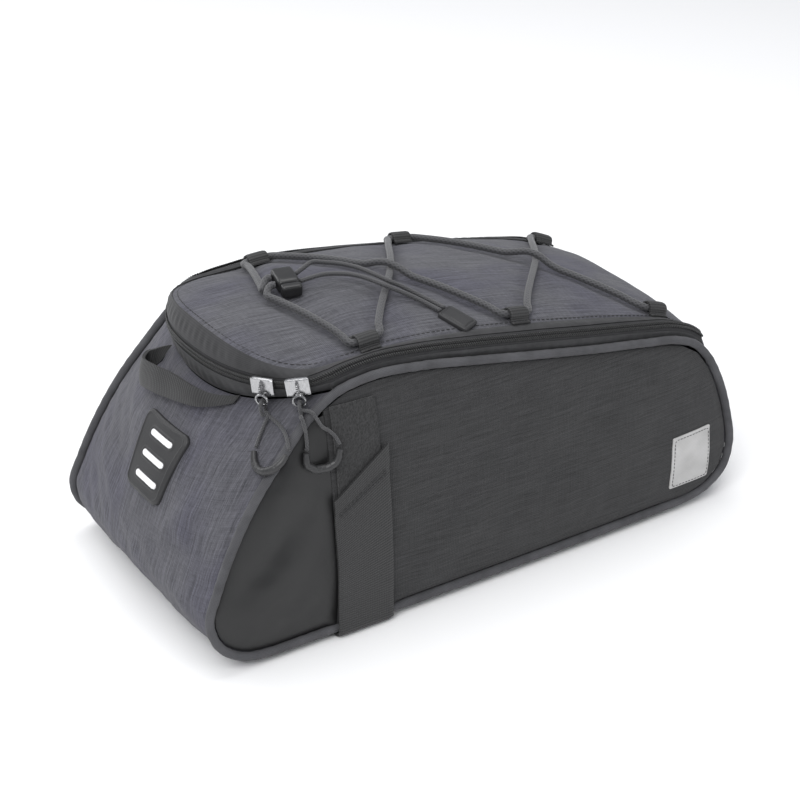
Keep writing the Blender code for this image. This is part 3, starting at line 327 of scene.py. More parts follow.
def smooth_curve(knots, closed=False, per_span=20):
    """Points on a smooth curve through the knots, whose columns may be any."""
    p = np.asarray(knots, float)
    step = np.linalg.norm(np.diff(p[:, :2], axis=0), axis=1)
    if closed:
        step = np.append(step, np.linalg.norm(p[0, :2] - p[-1, :2]))
        before, after = np.roll(p, 1, 0), np.roll(p, -1, 0)
        h0, h1 = np.roll(step, 1)[:, None], step[:, None]
        slope = ((after - p) / h1 * h0 + (p - before) / h0 * h1) / (h0 + h1)
        ends = [(i, (i + 1) % len(p)) for i in range(len(p))]
    else:
        h = step[:, None]
        slope = np.empty_like(p)
        slope[1:-1] = (np.diff(p, axis=0)[1:] / h[1:] * h[:-1] + np.diff(p, axis=0)[:-1] / h[:-1] * h[1:])
        slope[1:-1] /= h[1:] + h[:-1]
        slope[0] = (p[1] - p[0]) / h[0]
        slope[-1] = (p[-1] - p[-2]) / h[-1]
        ends = [(i, i + 1) for i in range(len(p) - 1)]
    s = np.linspace(0, 1, per_span, endpoint=False)[:, None]
    out = []
    for i, j in ends:
        out.append(
            (2 * s**3 - 3 * s**2 + 1) * p[i]
            + (s**3 - 2 * s**2 + s) * step[i] * slope[i]
            + (3 * s**2 - 2 * s**3) * p[j]
            + (s**3 - s**2) * step[i] * slope[j]
        )
    if not closed:
        out.append(p[-1:])
    return np.concatenate(out)


def along(points, closed=False):
    """Each point's distance along the line of points, from 0."""
    p = np.vstack([points, points[:1]]) if closed else points
    return np.concatenate([[0.0], np.cumsum(np.linalg.norm(np.diff(p, axis=0), axis=1))])


def evenly(points, count, closed=False):
    """count points at even distances along a line of points."""
    s = along(points, closed)
    p = np.vstack([points, points[:1]]) if closed else points
    at = np.linspace(0, s[-1], count, endpoint=not closed)
    return np.stack([np.interp(at, s, p[:, k]) for k in range(p.shape[1])], 1)


# The outline's own smooth curve, in metres, and the place of each of its named points on it
PER_SPAN = 20
KNOTS = [(REAR_X + x * LENGTH, BASE_DROP + z * SIDE_HEIGHT, *swells) for _, x, z, *swells in OUTLINE]
CURVE = smooth_curve(KNOTS, closed=True, per_span=PER_SPAN)
CURVE[:, 1] = np.maximum(CURVE[:, 1], BASE_DROP)
CURVE_S = along(CURVE[:, :2], closed=True)
PERIMETER = CURVE_S[-1]
PLACE = {row[0]: CURVE_S[i * PER_SPAN] for i, row in enumerate(OUTLINE)}
KNOT = {row[0]: KNOTS[i] for i, row in enumerate(OUTLINE)}


def outline_at(s):
    """x, z and the three swells of the outline at distance s along it."""
    ring = np.vstack([CURVE, CURVE[:1]])
    s = np.mod(s, PERIMETER)
    return [np.interp(s, CURVE_S, ring[:, k]) for k in range(5)]


def rear_place(z):
    """The distance along the outline at which its rear, below the lid, is at height z."""
    last = OUTLINE.index(next(row for row in OUTLINE if row[0] == "rear_heel")) * PER_SPAN
    return np.interp(-np.asarray(z), -CURVE[:last, 1], CURVE_S[:last])


def top_z(x):
    """The height of the outline's top at x."""
    first = OUTLINE.index(next(row for row in OUTLINE if row[0] == "front_high")) * PER_SPAN
    top = np.vstack([CURVE[first:], CURVE[: PER_SPAN + 1]])
    return np.interp(-np.asarray(x), -top[:, 0], top[:, 1])


def side_half(x, z):
    """Half the bag's width at a place on a side panel's edge."""
    share = np.clip((np.asarray(x) - REAR_X) / LENGTH, 0, 1)
    return WIDTH / 2 - LEAN * np.asarray(z) - NOSE * np.clip((share - 0.45) / 0.55, 0, 1) ** 2


def girth(s, f):
    """A point of the cloth between the side panels: s along the outline, f from -1 to 1 across."""
    x, z, back, fore, down = outline_at(s)
    f = np.asarray(f, float)
    swell = 1 - f**2
    flat = np.clip((1 - np.abs(f)) / BASE_ROUND, 0, 1)
    flat = flat * flat * (3 - 2 * flat)
    return np.stack(
        [
            x - back * REAR_BULGE * swell + fore * FRONT_BULGE * swell,
            f * (side_half(x, z) - SEAM_INSET),
            z - down * BASE_DROP * flat,
        ],
        -1,
    )


def inset_outline(amount, count):
    """The side outline drawn in by an amount, as even points in x and z."""
    ring = evenly(CURVE[:, :2], 400, closed=True)
    forward = np.roll(ring, -1, 0) - np.roll(ring, 1, 0)
    forward /= np.linalg.norm(forward, axis=1)[:, None]
    inward = np.stack([-forward[:, 1], forward[:, 0]], 1)
    return evenly(ring + amount * inward, count, closed=True)


RIM = inset_outline(SEAM_INSET, 160)


def side_y(x, z):
    """Half width to the outer face of a side panel, which swells away from its edge."""
    x, z = np.broadcast_arrays(np.asarray(x, float), np.asarray(z, float))
    flat = np.stack([x.ravel(), z.ravel()], 1)
    a, b = RIM, np.roll(RIM, -1, 0)
    ab = b - a
    t = np.einsum("nij,ij->ni", flat[:, None] - a, ab) / np.einsum("ij,ij->i", ab, ab)
    near = a + np.clip(t, 0, 1)[..., None] * ab
    depth = np.linalg.norm(flat[:, None] - near, axis=2).min(axis=1).reshape(x.shape)
    rise = np.clip(depth / (0.3 * SIDE_HEIGHT), 0, 1)
    return side_half(x, z) + SIDE_BULGE * (1 - (1 - rise) ** 2)


def lid_half(x):
    """Half the width of the lid's top panel, along its straight sides."""
    return side_half(x, top_z(x)) - SEAM_INSET - BAND_INSET


def lid_z(x, y):
    """The height of the lid's crowned top."""
    rows = np.array(LID)
    share = (np.asarray(x) - REAR_X) / LENGTH
    base = top_z(np.maximum(x, KNOT["apex"][0])) + LID_RISE * np.interp(share, rows[:, 0], rows[:, 1])
    crown = CROWN * np.interp(share, rows[:, 0], rows[:, 2])
    return base + crown * (1 - (np.asarray(y) / lid_half(np.maximum(x, KNOT["apex"][0]))) ** 2)


def band_rails(x_front, per_side, per_rear):
    """The zipped band's lower edge, middle and upper edge: down the right side of the bag,
    round its rear and up its left side. Each is an array of points."""
    shoulder = KNOT["shoulder"][0]
    run = np.linspace(x_front, shoulder, per_side, endpoint=False)
    half = side_half(run, top_z(run)) - SEAM_INSET
    low_side = np.stack([run, -half, top_z(run)], 1)
    high_side = np.stack([run, -lid_half(run), lid_z(run, lid_half(run))], 1)
    turn = np.linspace(-math.pi / 2, math.pi / 2, per_rear)
    f = np.sign(turn) * np.abs(np.sin(turn)) ** (2 / LID_CORNER_POWER)
    dip, brim = BASE_DROP + BAND_DIP * SIDE_HEIGHT, KNOT["shoulder"][1]
    low_rear = girth(rear_place(dip + (brim - dip) * np.abs(f) ** BAND_DIP_POWER), f)
    reach = shoulder - low_rear[:, 0].min() - LID_REAR_INSET
    x = shoulder - reach * np.abs(np.cos(turn)) ** (2 / LID_CORNER_POWER)
    y = f * lid_half(shoulder)
    high_rear = np.stack([x, y, lid_z(x, y)], 1)
    mirror = np.array([1, -1, 1])
    low = np.vstack([low_side, low_rear, (low_side * mirror)[::-1]])
    high = np.vstack([high_side, high_rear, (high_side * mirror)[::-1]])
    across = high - low
    forward = np.gradient((low + high) / 2, axis=0)
    outward = np.cross(across, forward)
    outward /= np.linalg.norm(outward, axis=1)[:, None]
    middle = (low + high) / 2 + BAND_BULGE * outward
    return low, middle, high


def bowed(low, middle, high, w):
    """The point at share w of the way over a bowed line from low by middle to high."""
    return low * 2 * (w - 0.5) * (w - 1) + middle * 4 * w * (1 - w) + high * 2 * w * (w - 0.5)


def on_band(rails, w):
    """Points at share w of the way up the band, w being one number or one for each station."""
    w = np.broadcast_to(np.asarray(w, float), (len(rails[0]),))[:, None]
    return bowed(*rails, w)


def rounded_rectangle(width, height, corner, top_width=None, per_corner=4, per_side=5):
    """A closed border with round corners, wider at the top if top_width says so."""
    top_width = width if top_width is None else top_width
    points = []
    for sx, sy in ((1, 1), (-1, 1), (-1, -1), (1, -1)):
        reach = (top_width if sy > 0 else width) / 2
        centre = np.array([sx * (reach - corner), sy * (height / 2 - corner)])
        start = {(1, 1): 0, (-1, 1): 90, (-1, -1): 180, (1, -1): 270}[(sx, sy)]
        turn = np.radians(np.linspace(start, start + 90, per_corner))
        points.append(centre + corner * np.stack([np.cos(turn), np.sin(turn)], 1))
    border = []
    for i, corner_points in enumerate(points):
        border.append(corner_points)
        after = points[(i + 1) % 4][0]
        share = np.linspace(0, 1, per_side + 1)[1:-1, None]
        border.append(corner_points[-1] * (1 - share) + after * share)
    return np.vstack(border)


def band_dip_place(f):
    """Where the rear panel's top edge meets the band, which dips at the middle of the rear."""
    dip, brim = BASE_DROP + BAND_DIP * SIDE_HEIGHT, KNOT["shoulder"][1]
    return rear_place(dip + (brim - dip) * np.abs(f) ** BAND_DIP_POWER) + GAP


def front_edge(f):
    """The front panel's top edge, which meets the band's ends and the lid's front."""
    x = REAR_X + LID_FRONT * LENGTH
    low, middle, high = (rail[0] for rail in band_rails(x, 10, 9))
    side = bowed(low, middle, high, np.linspace(0, 1, 6)[:, None])
    y = np.linspace(-lid_half(x), lid_half(x), 13)[1:-1]
    top = np.stack([0 * y + x, y, lid_z(x, y)], 1)
    line = np.vstack([side, top, (side * [1, -1, 1])[::-1]])
    at = f * -low[1]
    return np.stack([0 * f + x + 2 * GAP, at, np.interp(at, line[:, 1], line[:, 2])], 1)


def side_border(low_x=None, high_x=None):
    """The side panel's border, cut off at low_x or high_x by an upright edge."""
    ring = inset_outline(SEAM_INSET, 200)
    keep = ring[:, 0] > low_x if low_x is not None else ring[:, 0] < high_x
    start = int(np.argmax(~keep))
    ring = np.roll(ring, -start, 0)
    keep = np.roll(keep, -start)
    arc = ring[keep]
    limit = low_x if low_x is not None else high_x
    first, last = arc[0].copy(), arc[-1].copy()
    first[0] = last[0] = limit
    arc = evenly(np.vstack([first, arc, last]), 44 if low_x is not None else 34)
    upright = np.linspace(arc[-1], arc[0], 12)[1:-1]
    return np.vstack([arc, upright])


def rear_surface(y, along_place, off):
    """Points that stand off the rear panel by off, at y across and a place on the outline."""
    y, s = np.broadcast_arrays(np.asarray(y, float), np.asarray(along_place, float))

    def at(yy, ss):
        x, z, *_ = outline_at(ss)
        return girth(ss, yy / (side_half(x, z) - SEAM_INSET))

    step = 0.001
    across = at(y + step, s) - at(y - step, s)
    down = at(y, s + step) - at(y, s - step)
    normal = np.cross(across, down)
    normal /= np.linalg.norm(normal, axis=-1)[..., None]
    return at(y, s) + normal * (np.asarray(off)[..., None] if np.ndim(off) else off)


def on_lid(x, y, off):
    """A point that stands over the lid's top by off."""

    def at(a, b):
        return np.stack(np.broadcast_arrays(a, b, lid_z(a, b)), -1)

    step = 0.002
    normal = np.cross(at(x + step, y) - at(x - step, y), at(x, y + step) - at(x, y - step))
    normal /= np.linalg.norm(normal, axis=-1)[..., None]
    return at(x, y) + normal * (np.asarray(off)[..., None] if np.ndim(off) else off)


def anchor_place(which, side):
    right, left = next(row[1:] for row in ANCHORS if row[0] == which)
    x = REAR_X + (left if side > 0 else right) * LENGTH
    return np.array([x, side * (lid_half(x) - ANCHOR_INSET)])


def lacing_route(start, tabs, over):
    """The elastic cord's middle line over the lid: from start through the tabs, each an anchor and
    its side. It runs along the seam inside a tab, turns outside it and humps over the places in over."""
    half = np.array([ANCHOR_WIDTH / 2, 0])
    knots = [start]
    for which, side in tabs:
        middle = anchor_place(which, side)
        run = middle - half - knots[-1]
        centre = (middle - half + knots[-1]) / 2 + [CROSS_BOW if side > 0 else 0, 0]
        run *= LACING_TURN / np.linalg.norm(run)
        if len(knots) > 1:
            knots += [knots[-1] + run, centre]
        knots += [
            middle - half - run, middle - half, middle - 0.5 * half, middle + 0.5 * half, middle + half
        ]
    flat = smooth_curve(knots, per_span=30)
    flat = evenly(flat, int(along(flat)[-1] / (1.6 * BUNGEE)))
    lift = np.full(len(flat), BUNGEE / 2 + 2 * GAP)
    for spot in over:
        near = np.linalg.norm(flat - spot, axis=1)
        lift += (BUNGEE + GAP) * np.exp(-((near / (2.6 * BUNGEE)) ** 2.4))
    return on_lid(flat[:, 0], flat[:, 1], lift)


def lacing_cross(low, high):
    """Where the strand from low's left tab meets the one from high's left tab, over the middle."""
    start, end = anchor_place(low, 1), anchor_place(high, -1)
    slope = (end - start) / (end[1] - start[1])
    y = 0.8 * CROSS_BOW / (2 * slope[0])
    return start + (y - start[1]) * slope


def lock_frame():
    """The cord lock's centre, and its axes: along the bag, along the lock, and up."""
    x, y = REAR_X + LOCK_X * LENGTH, LOCK_Y * WIDTH
    centre = on_lid(x, y, LOCK_OFF)
    axis = np.array([-0.2, -0.97, -0.11])
    axis /= np.linalg.norm(axis)
    fore = np.cross(axis, [0, 0, 1.0])
    fore *= -1 / np.linalg.norm(fore)
    return centre, fore, axis, np.cross(fore, axis)


def lock_mouth(side, far):
    """The end of a cord at the lock: side -1 is its rear face, and far 1 its left hole."""
    centre, fore, axis, _ = lock_frame()
    return centre + side * (LOCK_WIDTH / 2 + 2 * GAP) * fore - far * HOLE_PITCH / 2 * axis


def slider_frame(share):
    """A slider's centre on the zip's chain, and its axes: along the zip, down and outward."""
    rails = band_rails(REAR_X + LID_FRONT * LENGTH, 13, 21)
    line = evenly(on_band(rails, 0.5), 200)
    behind = line[:, 0] < KNOT["shoulder"][0]
    step = int(np.argmax(behind & (line[:, 1] > -share * WIDTH / 2)))
    rail = on_band(rails, 0.4)
    lower = rail[np.argmin(np.linalg.norm(rail - line[step], axis=1))]
    run = line[step + 1] - line[step - 1]
    run /= np.linalg.norm(run)
    down = lower - line[step]
    down -= run * (down @ run)
    down /= np.linalg.norm(down)
    out = np.cross(run, down)
    out *= np.sign(out @ [line[step][0] - CENTRE_SHIFT, line[step][1], 0])
    return line[step], run, down, out


# Camera and light

CAMERA_PLACE = (-0.5168, -0.7943, 0.5818)
CAMERA_TURN = 32.6  # degrees round the bag, from straight at its right side
CAMERA_DOWN = 28.2
CAMERA_LENS = 83.88


def build_stage():
    """The pale floor, the soft lamps and the camera at the photograph's angle."""
    data = bpy.data.cameras.new("camera")
    data.lens = CAMERA_LENS
    camera = bpy.data.objects.new("camera", data)
    bpy.context.scene.collection.objects.link(camera)
    camera.location = CAMERA_PLACE
    turn, down = math.radians(CAMERA_TURN), math.radians(CAMERA_DOWN)
    ahead = (math.sin(turn) * math.cos(down), math.cos(turn) * math.cos(down), -math.sin(down))
    camera.rotation_mode = "QUATERNION"
    camera.rotation_quaternion = Vector(ahead).to_track_quat("-Z", "Y")
    bpy.context.scene.camera = camera

    mesh = bpy.data.meshes.new("floor")
    mesh.from_pydata([(-6, -6, 0), (6, -6, 0), (6, 6, 0), (-6, 6, 0)], [], [(0, 1, 2, 3)])
    floor = bpy.data.objects.new("floor", mesh)
    bpy.context.scene.collection.objects.link(floor)
    mesh.materials.append(plain("floor_paper", (0.86, 0.86, 0.86), 0.9))

    for name, place, size, power in LAMPS:
        light = bpy.data.lights.new(name, "AREA")
        light.shape = "RECTANGLE"
        light.size, light.size_y = size
        light.energy = power
        lamp = bpy.data.objects.new(name, light)
        bpy.context.scene.collection.objects.link(lamp)
        lamp.location = place
        lamp.rotation_mode = "QUATERNION"
        lamp.rotation_quaternion = (Vector((0, 0, 0.08)) - Vector(place)).to_track_quat("-Z", "Y")
    world = bpy.data.worlds.new("studio")
    world.use_nodes = True
    background = world.node_tree.nodes["Background"]
    background.inputs["Color"].default_value = (0.93, 0.95, 1, 1)
    background.inputs["Strength"].default_value = 0.5
    bpy.context.scene.world = world
    bpy.context.scene.view_settings.view_transform = "Standard"


LAMPS = (
    # name, place, size, watts
    ("key", (-1.1, -0.9, 1.5), (1.2, 1.0), 27),
    ("top", (0.1, 0.3, 1.7), (1.6, 1.2), 17),
    ("fill", (0.9, -1.6, 0.7), (1.2, 0.9), 6),
    ("rim", (-0.7, 1.5, 0.9), (1.0, 0.8), 8),
)


# Materials


def plain(name, colour, roughness, metallic=0.0):
    """A material of one even colour."""
    made = bpy.data.materials.new(name)
    made.use_nodes = True
    shader = made.node_tree.nodes["Principled BSDF"]
    shader.inputs["Base Color"].default_value = (*colour, 1)
    shader.inputs["Roughness"].default_value = roughness
    shader.inputs["Metallic"].default_value = metallic
    return made


class Paint:
    """Builds a material's nodes: each call returns an output socket."""

    def __init__(self, name, roughness, sheen=0.0, metallic=0.0, coat=0.0):
        self.material = plain(name, (0.5, 0.5, 0.5), roughness, metallic)
        self.tree = self.material.node_tree
        self.shader = self.tree.nodes["Principled BSDF"]
        self.shader.inputs["Sheen Weight"].default_value = sheen
        self.shader.inputs["Sheen Roughness"].default_value = 0.6
        self.shader.inputs["Coat Weight"].default_value = coat
        self.shader.inputs["Coat Roughness"].default_value = 0.25

    def put(self, value, socket):
        if isinstance(value, bpy.types.NodeSocket):
            self.tree.links.new(value, socket)
        elif value is not None:
            socket.default_value = value

    def node(self, kind, *values, **settings):
        made = self.tree.nodes.new(kind)
        for key, value in settings.items():
            setattr(made, key, value)
        for value, socket in zip(values, made.inputs):
            self.put(value, socket)
        return made

    def math(self, operation, a, b=None):
        return self.node("ShaderNodeMath", a, b, operation=operation).outputs[0]

    def place(self, scale, turn=0.0):
        """The cloth's own coordinates in metres, times scale."""
        uv = self.node("ShaderNodeUVMap", uv_map="cloth").outputs[0]
        made = self.node("ShaderNodeMapping", uv)
        made.inputs["Scale"].default_value = scale
        made.inputs["Rotation"].default_value = (0, 0, turn)
        return made.outputs[0]

    def noise(self, scale, detail=2.0, rough=0.5, turn=0.0):
        made = self.node("ShaderNodeTexNoise")
        self.put(self.place(scale, turn), made.inputs["Vector"])
        made.inputs["Scale"].default_value = 1.0
        made.inputs["Detail"].default_value = detail
        made.inputs["Roughness"].default_value = rough
        return made.outputs[0]

    def ribs(self, axis, pitch):
        """0 to 1 in even ribs along the axis, 0 for u and 1 for v."""
        parts = self.node("ShaderNodeSeparateXYZ", self.node("ShaderNodeUVMap", uv_map="cloth").outputs[0])
        angle = self.math("MULTIPLY", parts.outputs[axis], 2 * math.pi / pitch)
        return self.math("MULTIPLY", self.math("ADD", self.math("SINE", angle), 1.0), 0.5)

    def ramp(self, value, *stops):
        made = self.node("ShaderNodeValToRGB", value)
        while len(made.color_ramp.elements) < len(stops):
            made.color_ramp.elements.new(0.5)
        for element, (place, colour) in zip(made.color_ramp.elements, stops):
            element.position = place
            element.color = (*colour, 1) if hasattr(colour, "__len__") else (colour, colour, colour, 1)
        return made.outputs[0]

    def mix(self, share, a, b, kind="MIX"):
        made = self.node("ShaderNodeMix", data_type="RGBA", blend_type=kind)
        self.put(share, made.inputs[0])
        for value, socket in ((a, made.inputs[6]), (b, made.inputs[7])):
            self.put((*value, 1) if isinstance(value, tuple) else value, socket)
        return made.outputs[2]

    def bump(self, height, depth, strength=1.0, under=None):
        made = self.node("ShaderNodeBump")
        made.inputs["Strength"].default_value = strength
        made.inputs["Distance"].default_value = depth
        self.put(height, made.inputs["Height"])
        if under is not None:
            self.put(under, made.inputs["Normal"])
        return made.outputs[0]

    def finish(self, colour=None, normal=None, roughness=None):
        self.put(colour, self.shader.inputs["Base Color"])
        self.put(normal, self.shader.inputs["Normal"])
        self.put(roughness, self.shader.inputs["Roughness"])
        return self.material


YARN = 0.0011  # the heather cloth's yarn pitch


def heather(name, dark, light, tint, tint_share):
    """Melange cloth: long pale and dark yarns along u, a plain weave and faint cool patches."""
    p = Paint(name, 0.88, sheen=0.06)
    streak = p.noise((34, 1 / YARN / 1.1, 1), detail=3, rough=0.6)
    fleck = p.noise((420, 1.1 / YARN, 1), detail=2)
    cross = p.noise((1 / YARN, 60, 1), detail=2)
    patch = p.ramp(p.noise((15, 22, 1), detail=2), (0.45, 0.0), (0.62, 1.0))
    tone = p.math("ADD", p.math("MULTIPLY", streak, 0.62), p.math("MULTIPLY", fleck, 0.26))
    tone = p.math("ADD", tone, p.math("MULTIPLY", cross, 0.16))
    colour = p.ramp(
        tone, (0.36, dark), (0.52, tuple(0.5 * (a + b) for a, b in zip(dark, light))), (0.68, light)
    )
    colour = p.mix(p.math("MULTIPLY", patch, tint_share), colour, tint, "MULTIPLY")
    weave = p.math("MULTIPLY", p.ribs(0, YARN), p.ribs(1, YARN))
    height = p.math("ADD", p.math("MULTIPLY", weave, 0.5), p.math("MULTIPLY", tone, 1.0))
    return p.finish(colour, p.bump(height, 0.00035, 0.8))


def ribbed(name, dark, light, pitch=0.00145, roughness=0.62):
    """Woven webbing: ribs across the strip, which runs along v, and fine warp ends along it."""
    p = Paint(name, roughness, sheen=0.05)
    rib = p.ribs(1, pitch)
    warp = p.ribs(0, 0.0011)
    speck = p.noise((900, 700, 1), detail=2)
    tone = p.math("ADD", p.math("MULTIPLY", rib, 0.6), p.math("MULTIPLY", warp, 0.22))
    tone = p.math("ADD", tone, p.math("MULTIPLY", speck, 0.3))
    colour = p.ramp(tone, (0.25, dark), (0.85, light))
    return p.finish(colour, p.bump(tone, 0.0003, 0.8))


def woven(name, dark, light, pitch=0.0008, roughness=0.82):
    """Plain woven cloth, tape or thread."""
    p = Paint(name, roughness, sheen=0.05)
    weave = p.math(
        "ADD", p.math("MULTIPLY", p.ribs(0, pitch), 0.5), p.math("MULTIPLY", p.ribs(1, pitch), 0.5)
    )
    mottle = p.noise((70, 90, 1), detail=4)
    tone = p.math("ADD", p.math("MULTIPLY", weave, 0.35), p.math("MULTIPLY", mottle, 0.75))
    return p.finish(p.ramp(tone, (0.3, dark), (0.8, light)), p.bump(tone, 0.0002, 0.6))


def coated(name):
    """Smooth coated cloth with a fine grain, whose colour and roughness vary softly."""
    p = Paint(name, 0.34, coat=0.03)
    grain = p.noise((1500, 1500, 1), detail=2)
    wear = p.noise((28, 28, 1), detail=4)
    colour = p.ramp(wear, (0.3, (0.0035, 0.0035, 0.0036)), (0.75, (0.007, 0.007, 0.0072)))
    rough = p.ramp(wear, (0.3, 0.36), (0.7, 0.5))
    return p.finish(colour, p.bump(grain, 0.00006, 0.5), rough)


def looped(name):
    """Fuzzy loop tape."""
    p = Paint(name, 0.95, sheen=0.12)
    loops = p.node("ShaderNodeTexVoronoi")
    p.put(p.place((900, 700, 1)), loops.inputs["Vector"])
    loops.inputs["Scale"].default_value = 1.0
    fuzz = p.noise((1700, 1300, 1), detail=3)
    tone = p.math("ADD", p.math("MULTIPLY", loops.outputs[0], 0.6), p.math("MULTIPLY", fuzz, 0.5))
    return p.finish(
        p.ramp(tone, (0.25, (0.005, 0.005, 0.005)), (0.9, (0.026, 0.026, 0.027))), p.bump(tone, 0.0006, 0.9)
    )


def braided(name, dark, light, pitch):
    """A braided sleeve: two families of strands wound opposite ways round a cord."""
    p = Paint(name, 0.6, sheen=0.2)
    parts = p.node("ShaderNodeSeparateXYZ", p.node("ShaderNodeUVMap", uv_map="cloth").outputs[0])
    u = p.math("MULTIPLY", parts.outputs[0], 2 * math.pi / pitch)
    v = p.math("MULTIPLY", parts.outputs[1], 2 * math.pi / pitch / 1.35)
    left = p.math("SINE", p.math("ADD", u, v))
    right = p.math("SINE", p.math("SUBTRACT", u, v))
    tone = p.math("MAXIMUM", left, right)
    tone = p.math("ADD", p.math("MULTIPLY", tone, 0.4), 0.5)
    speck = p.noise((1500, 1500, 1), detail=2)
    tone = p.math("ADD", p.math("MULTIPLY", tone, 0.75), p.math("MULTIPLY", speck, 0.3))
    return p.finish(p.ramp(tone, (0.3, dark), (0.95, light)), p.bump(tone, 0.00035, 0.8))


def moulded(name, dark, light, roughness, scale=900):
    """Moulded rubber or nylon with a fine texture and slight wear."""
    p = Paint(name, roughness)
    grain = p.noise((scale, scale, 1), detail=3)
    wear = p.noise((45, 45, 1), detail=4)
    colour = p.ramp(wear, (0.3, dark), (0.75, light))
    return p.finish(colour, p.bump(grain, 0.00008, 0.6))


def metal(name):
    """Bright plated metal with fine marks."""
    p = Paint(name, 0.2, metallic=1.0)
    marks = p.noise((3000, 400, 1), detail=4)
    return p.finish(
        p.ramp(marks, (0.3, (0.30, 0.30, 0.305)), (0.7, (0.52, 0.52, 0.53))),
        p.bump(marks, 0.00002, 0.4),
        p.ramp(marks, (0.3, 0.16), (0.75, 0.34)),
    )


def reflective(name):
    """A bright retroreflective strip: a lattice of tiny cells under a clear skin."""
    p = Paint(name, 0.3, coat=0.4)
    cells = p.math("MULTIPLY", p.ribs(0, 0.0008), p.ribs(1, 0.0008))
    colour = p.ramp(cells, (0.0, (0.72, 0.72, 0.73)), (0.6, (0.92, 0.92, 0.93)))
    return p.finish(colour, p.bump(cells, 0.00008, 0.5))


# Mesh making

MIDDLE = np.array([0.0, 0.0, 0.07])  # a point well inside the bag


def unit(v):
    return v / np.maximum(np.linalg.norm(v, axis=-1, keepdims=True), 1e-12)


def soft_noise(points, wavelength, seed, waves=7):
    """A smooth random field of about -1 to 1 at the points, made of a few seeded waves."""
    rng = np.random.default_rng(seed)
    total = np.zeros(points.shape[:-1])
    for _ in range(waves):
        way = unit(rng.normal(size=points.shape[-1]))
        length = wavelength * rng.uniform(0.7, 1.6)
        total += np.sin(points @ way * (2 * math.pi / length) + rng.uniform(0, 2 * math.pi))
    return total / math.sqrt(waves)


def outward(grid, closed=False):
    """Unit normals of a grid of points, turned away from the bag's middle."""
    if closed:
        around = np.roll(grid, -1, 1) - np.roll(grid, 1, 1)
    else:
        around = np.gradient(grid, axis=1)
    n = unit(np.cross(np.gradient(grid, axis=0), around))
    return n * np.sign(np.sum(n * (grid - MIDDLE)))


def add_piece(name, points, faces, uvs, finish, node=None, sharp=50):
    """A finished mesh piece that rides on the bag. uvs has one pair for each point."""
    mesh = bpy.data.meshes.new(name)
    mesh.from_pydata(np.asarray(points, float).tolist(), [], faces)
    layer = mesh.uv_layers.new(name="cloth")
    index = np.empty(len(mesh.loops), np.int32)
    mesh.loops.foreach_get("vertex_index", index)
    layer.data.foreach_set("uv", np.asarray(uvs, np.float32)[index].ravel())
    mesh.materials.append(finish)
    mesh.shade_smooth()
    mesh.set_sharp_from_angle(angle=math.radians(sharp))
    mesh.update()
    made = bpy.data.objects.new(name, mesh)
    bpy.context.scene.collection.objects.link(made)
    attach(made, BODY)
    if node:
        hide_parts(*([node] if isinstance(node, str) else node))
    return made


def grid_uv(grid):
    """Each point's distance across and along the middle of its grid, in metres."""
    rows, columns = grid.shape[:2]
    across = along(grid[rows // 2])
    down = along(grid[:, columns // 2])
    return np.stack(np.broadcast_arrays(across[None, :], down[:, None]), -1)


def cloth(name, grid, thickness, finish, node=None, uv=None, swap=False, normals=None):
    """A wall over a grid of points of its outer face, closed round its edges."""
    rows, columns = grid.shape[:2]
    n = outward(grid) if normals is None else normals
    uv = grid_uv(grid) if uv is None else uv
    if swap:
        uv = uv[..., ::-1]
    turned = np.sum(np.cross(np.gradient(grid, axis=0), np.gradient(grid, axis=1)) * n) < 0
    inner = grid - thickness * n
    points = np.vstack([grid.reshape(-1, 3), inner.reshape(-1, 3)])
    uvs = np.vstack([uv.reshape(-1, 2)] * 2)
    total = rows * columns
    at = np.arange(total).reshape(rows, columns)
    a, b, c, d = at[:-1, :-1], at[:-1, 1:], at[1:, 1:], at[1:, :-1]
    top = np.stack([a, d, c, b], -1).reshape(-1, 4)
    around = np.concatenate([at[0, :], at[1:, -1], at[-1, -2::-1], at[-2:0:-1, 0]])
    after = np.roll(around, -1)
    rim = np.stack([around, after, after + total, around + total], -1)
    faces = np.vstack([top, top[:, ::-1] + total, rim])
    if turned:
        faces = faces[:, ::-1]
    return add_piece(name, points, faces.tolist(), uvs, finish, node)


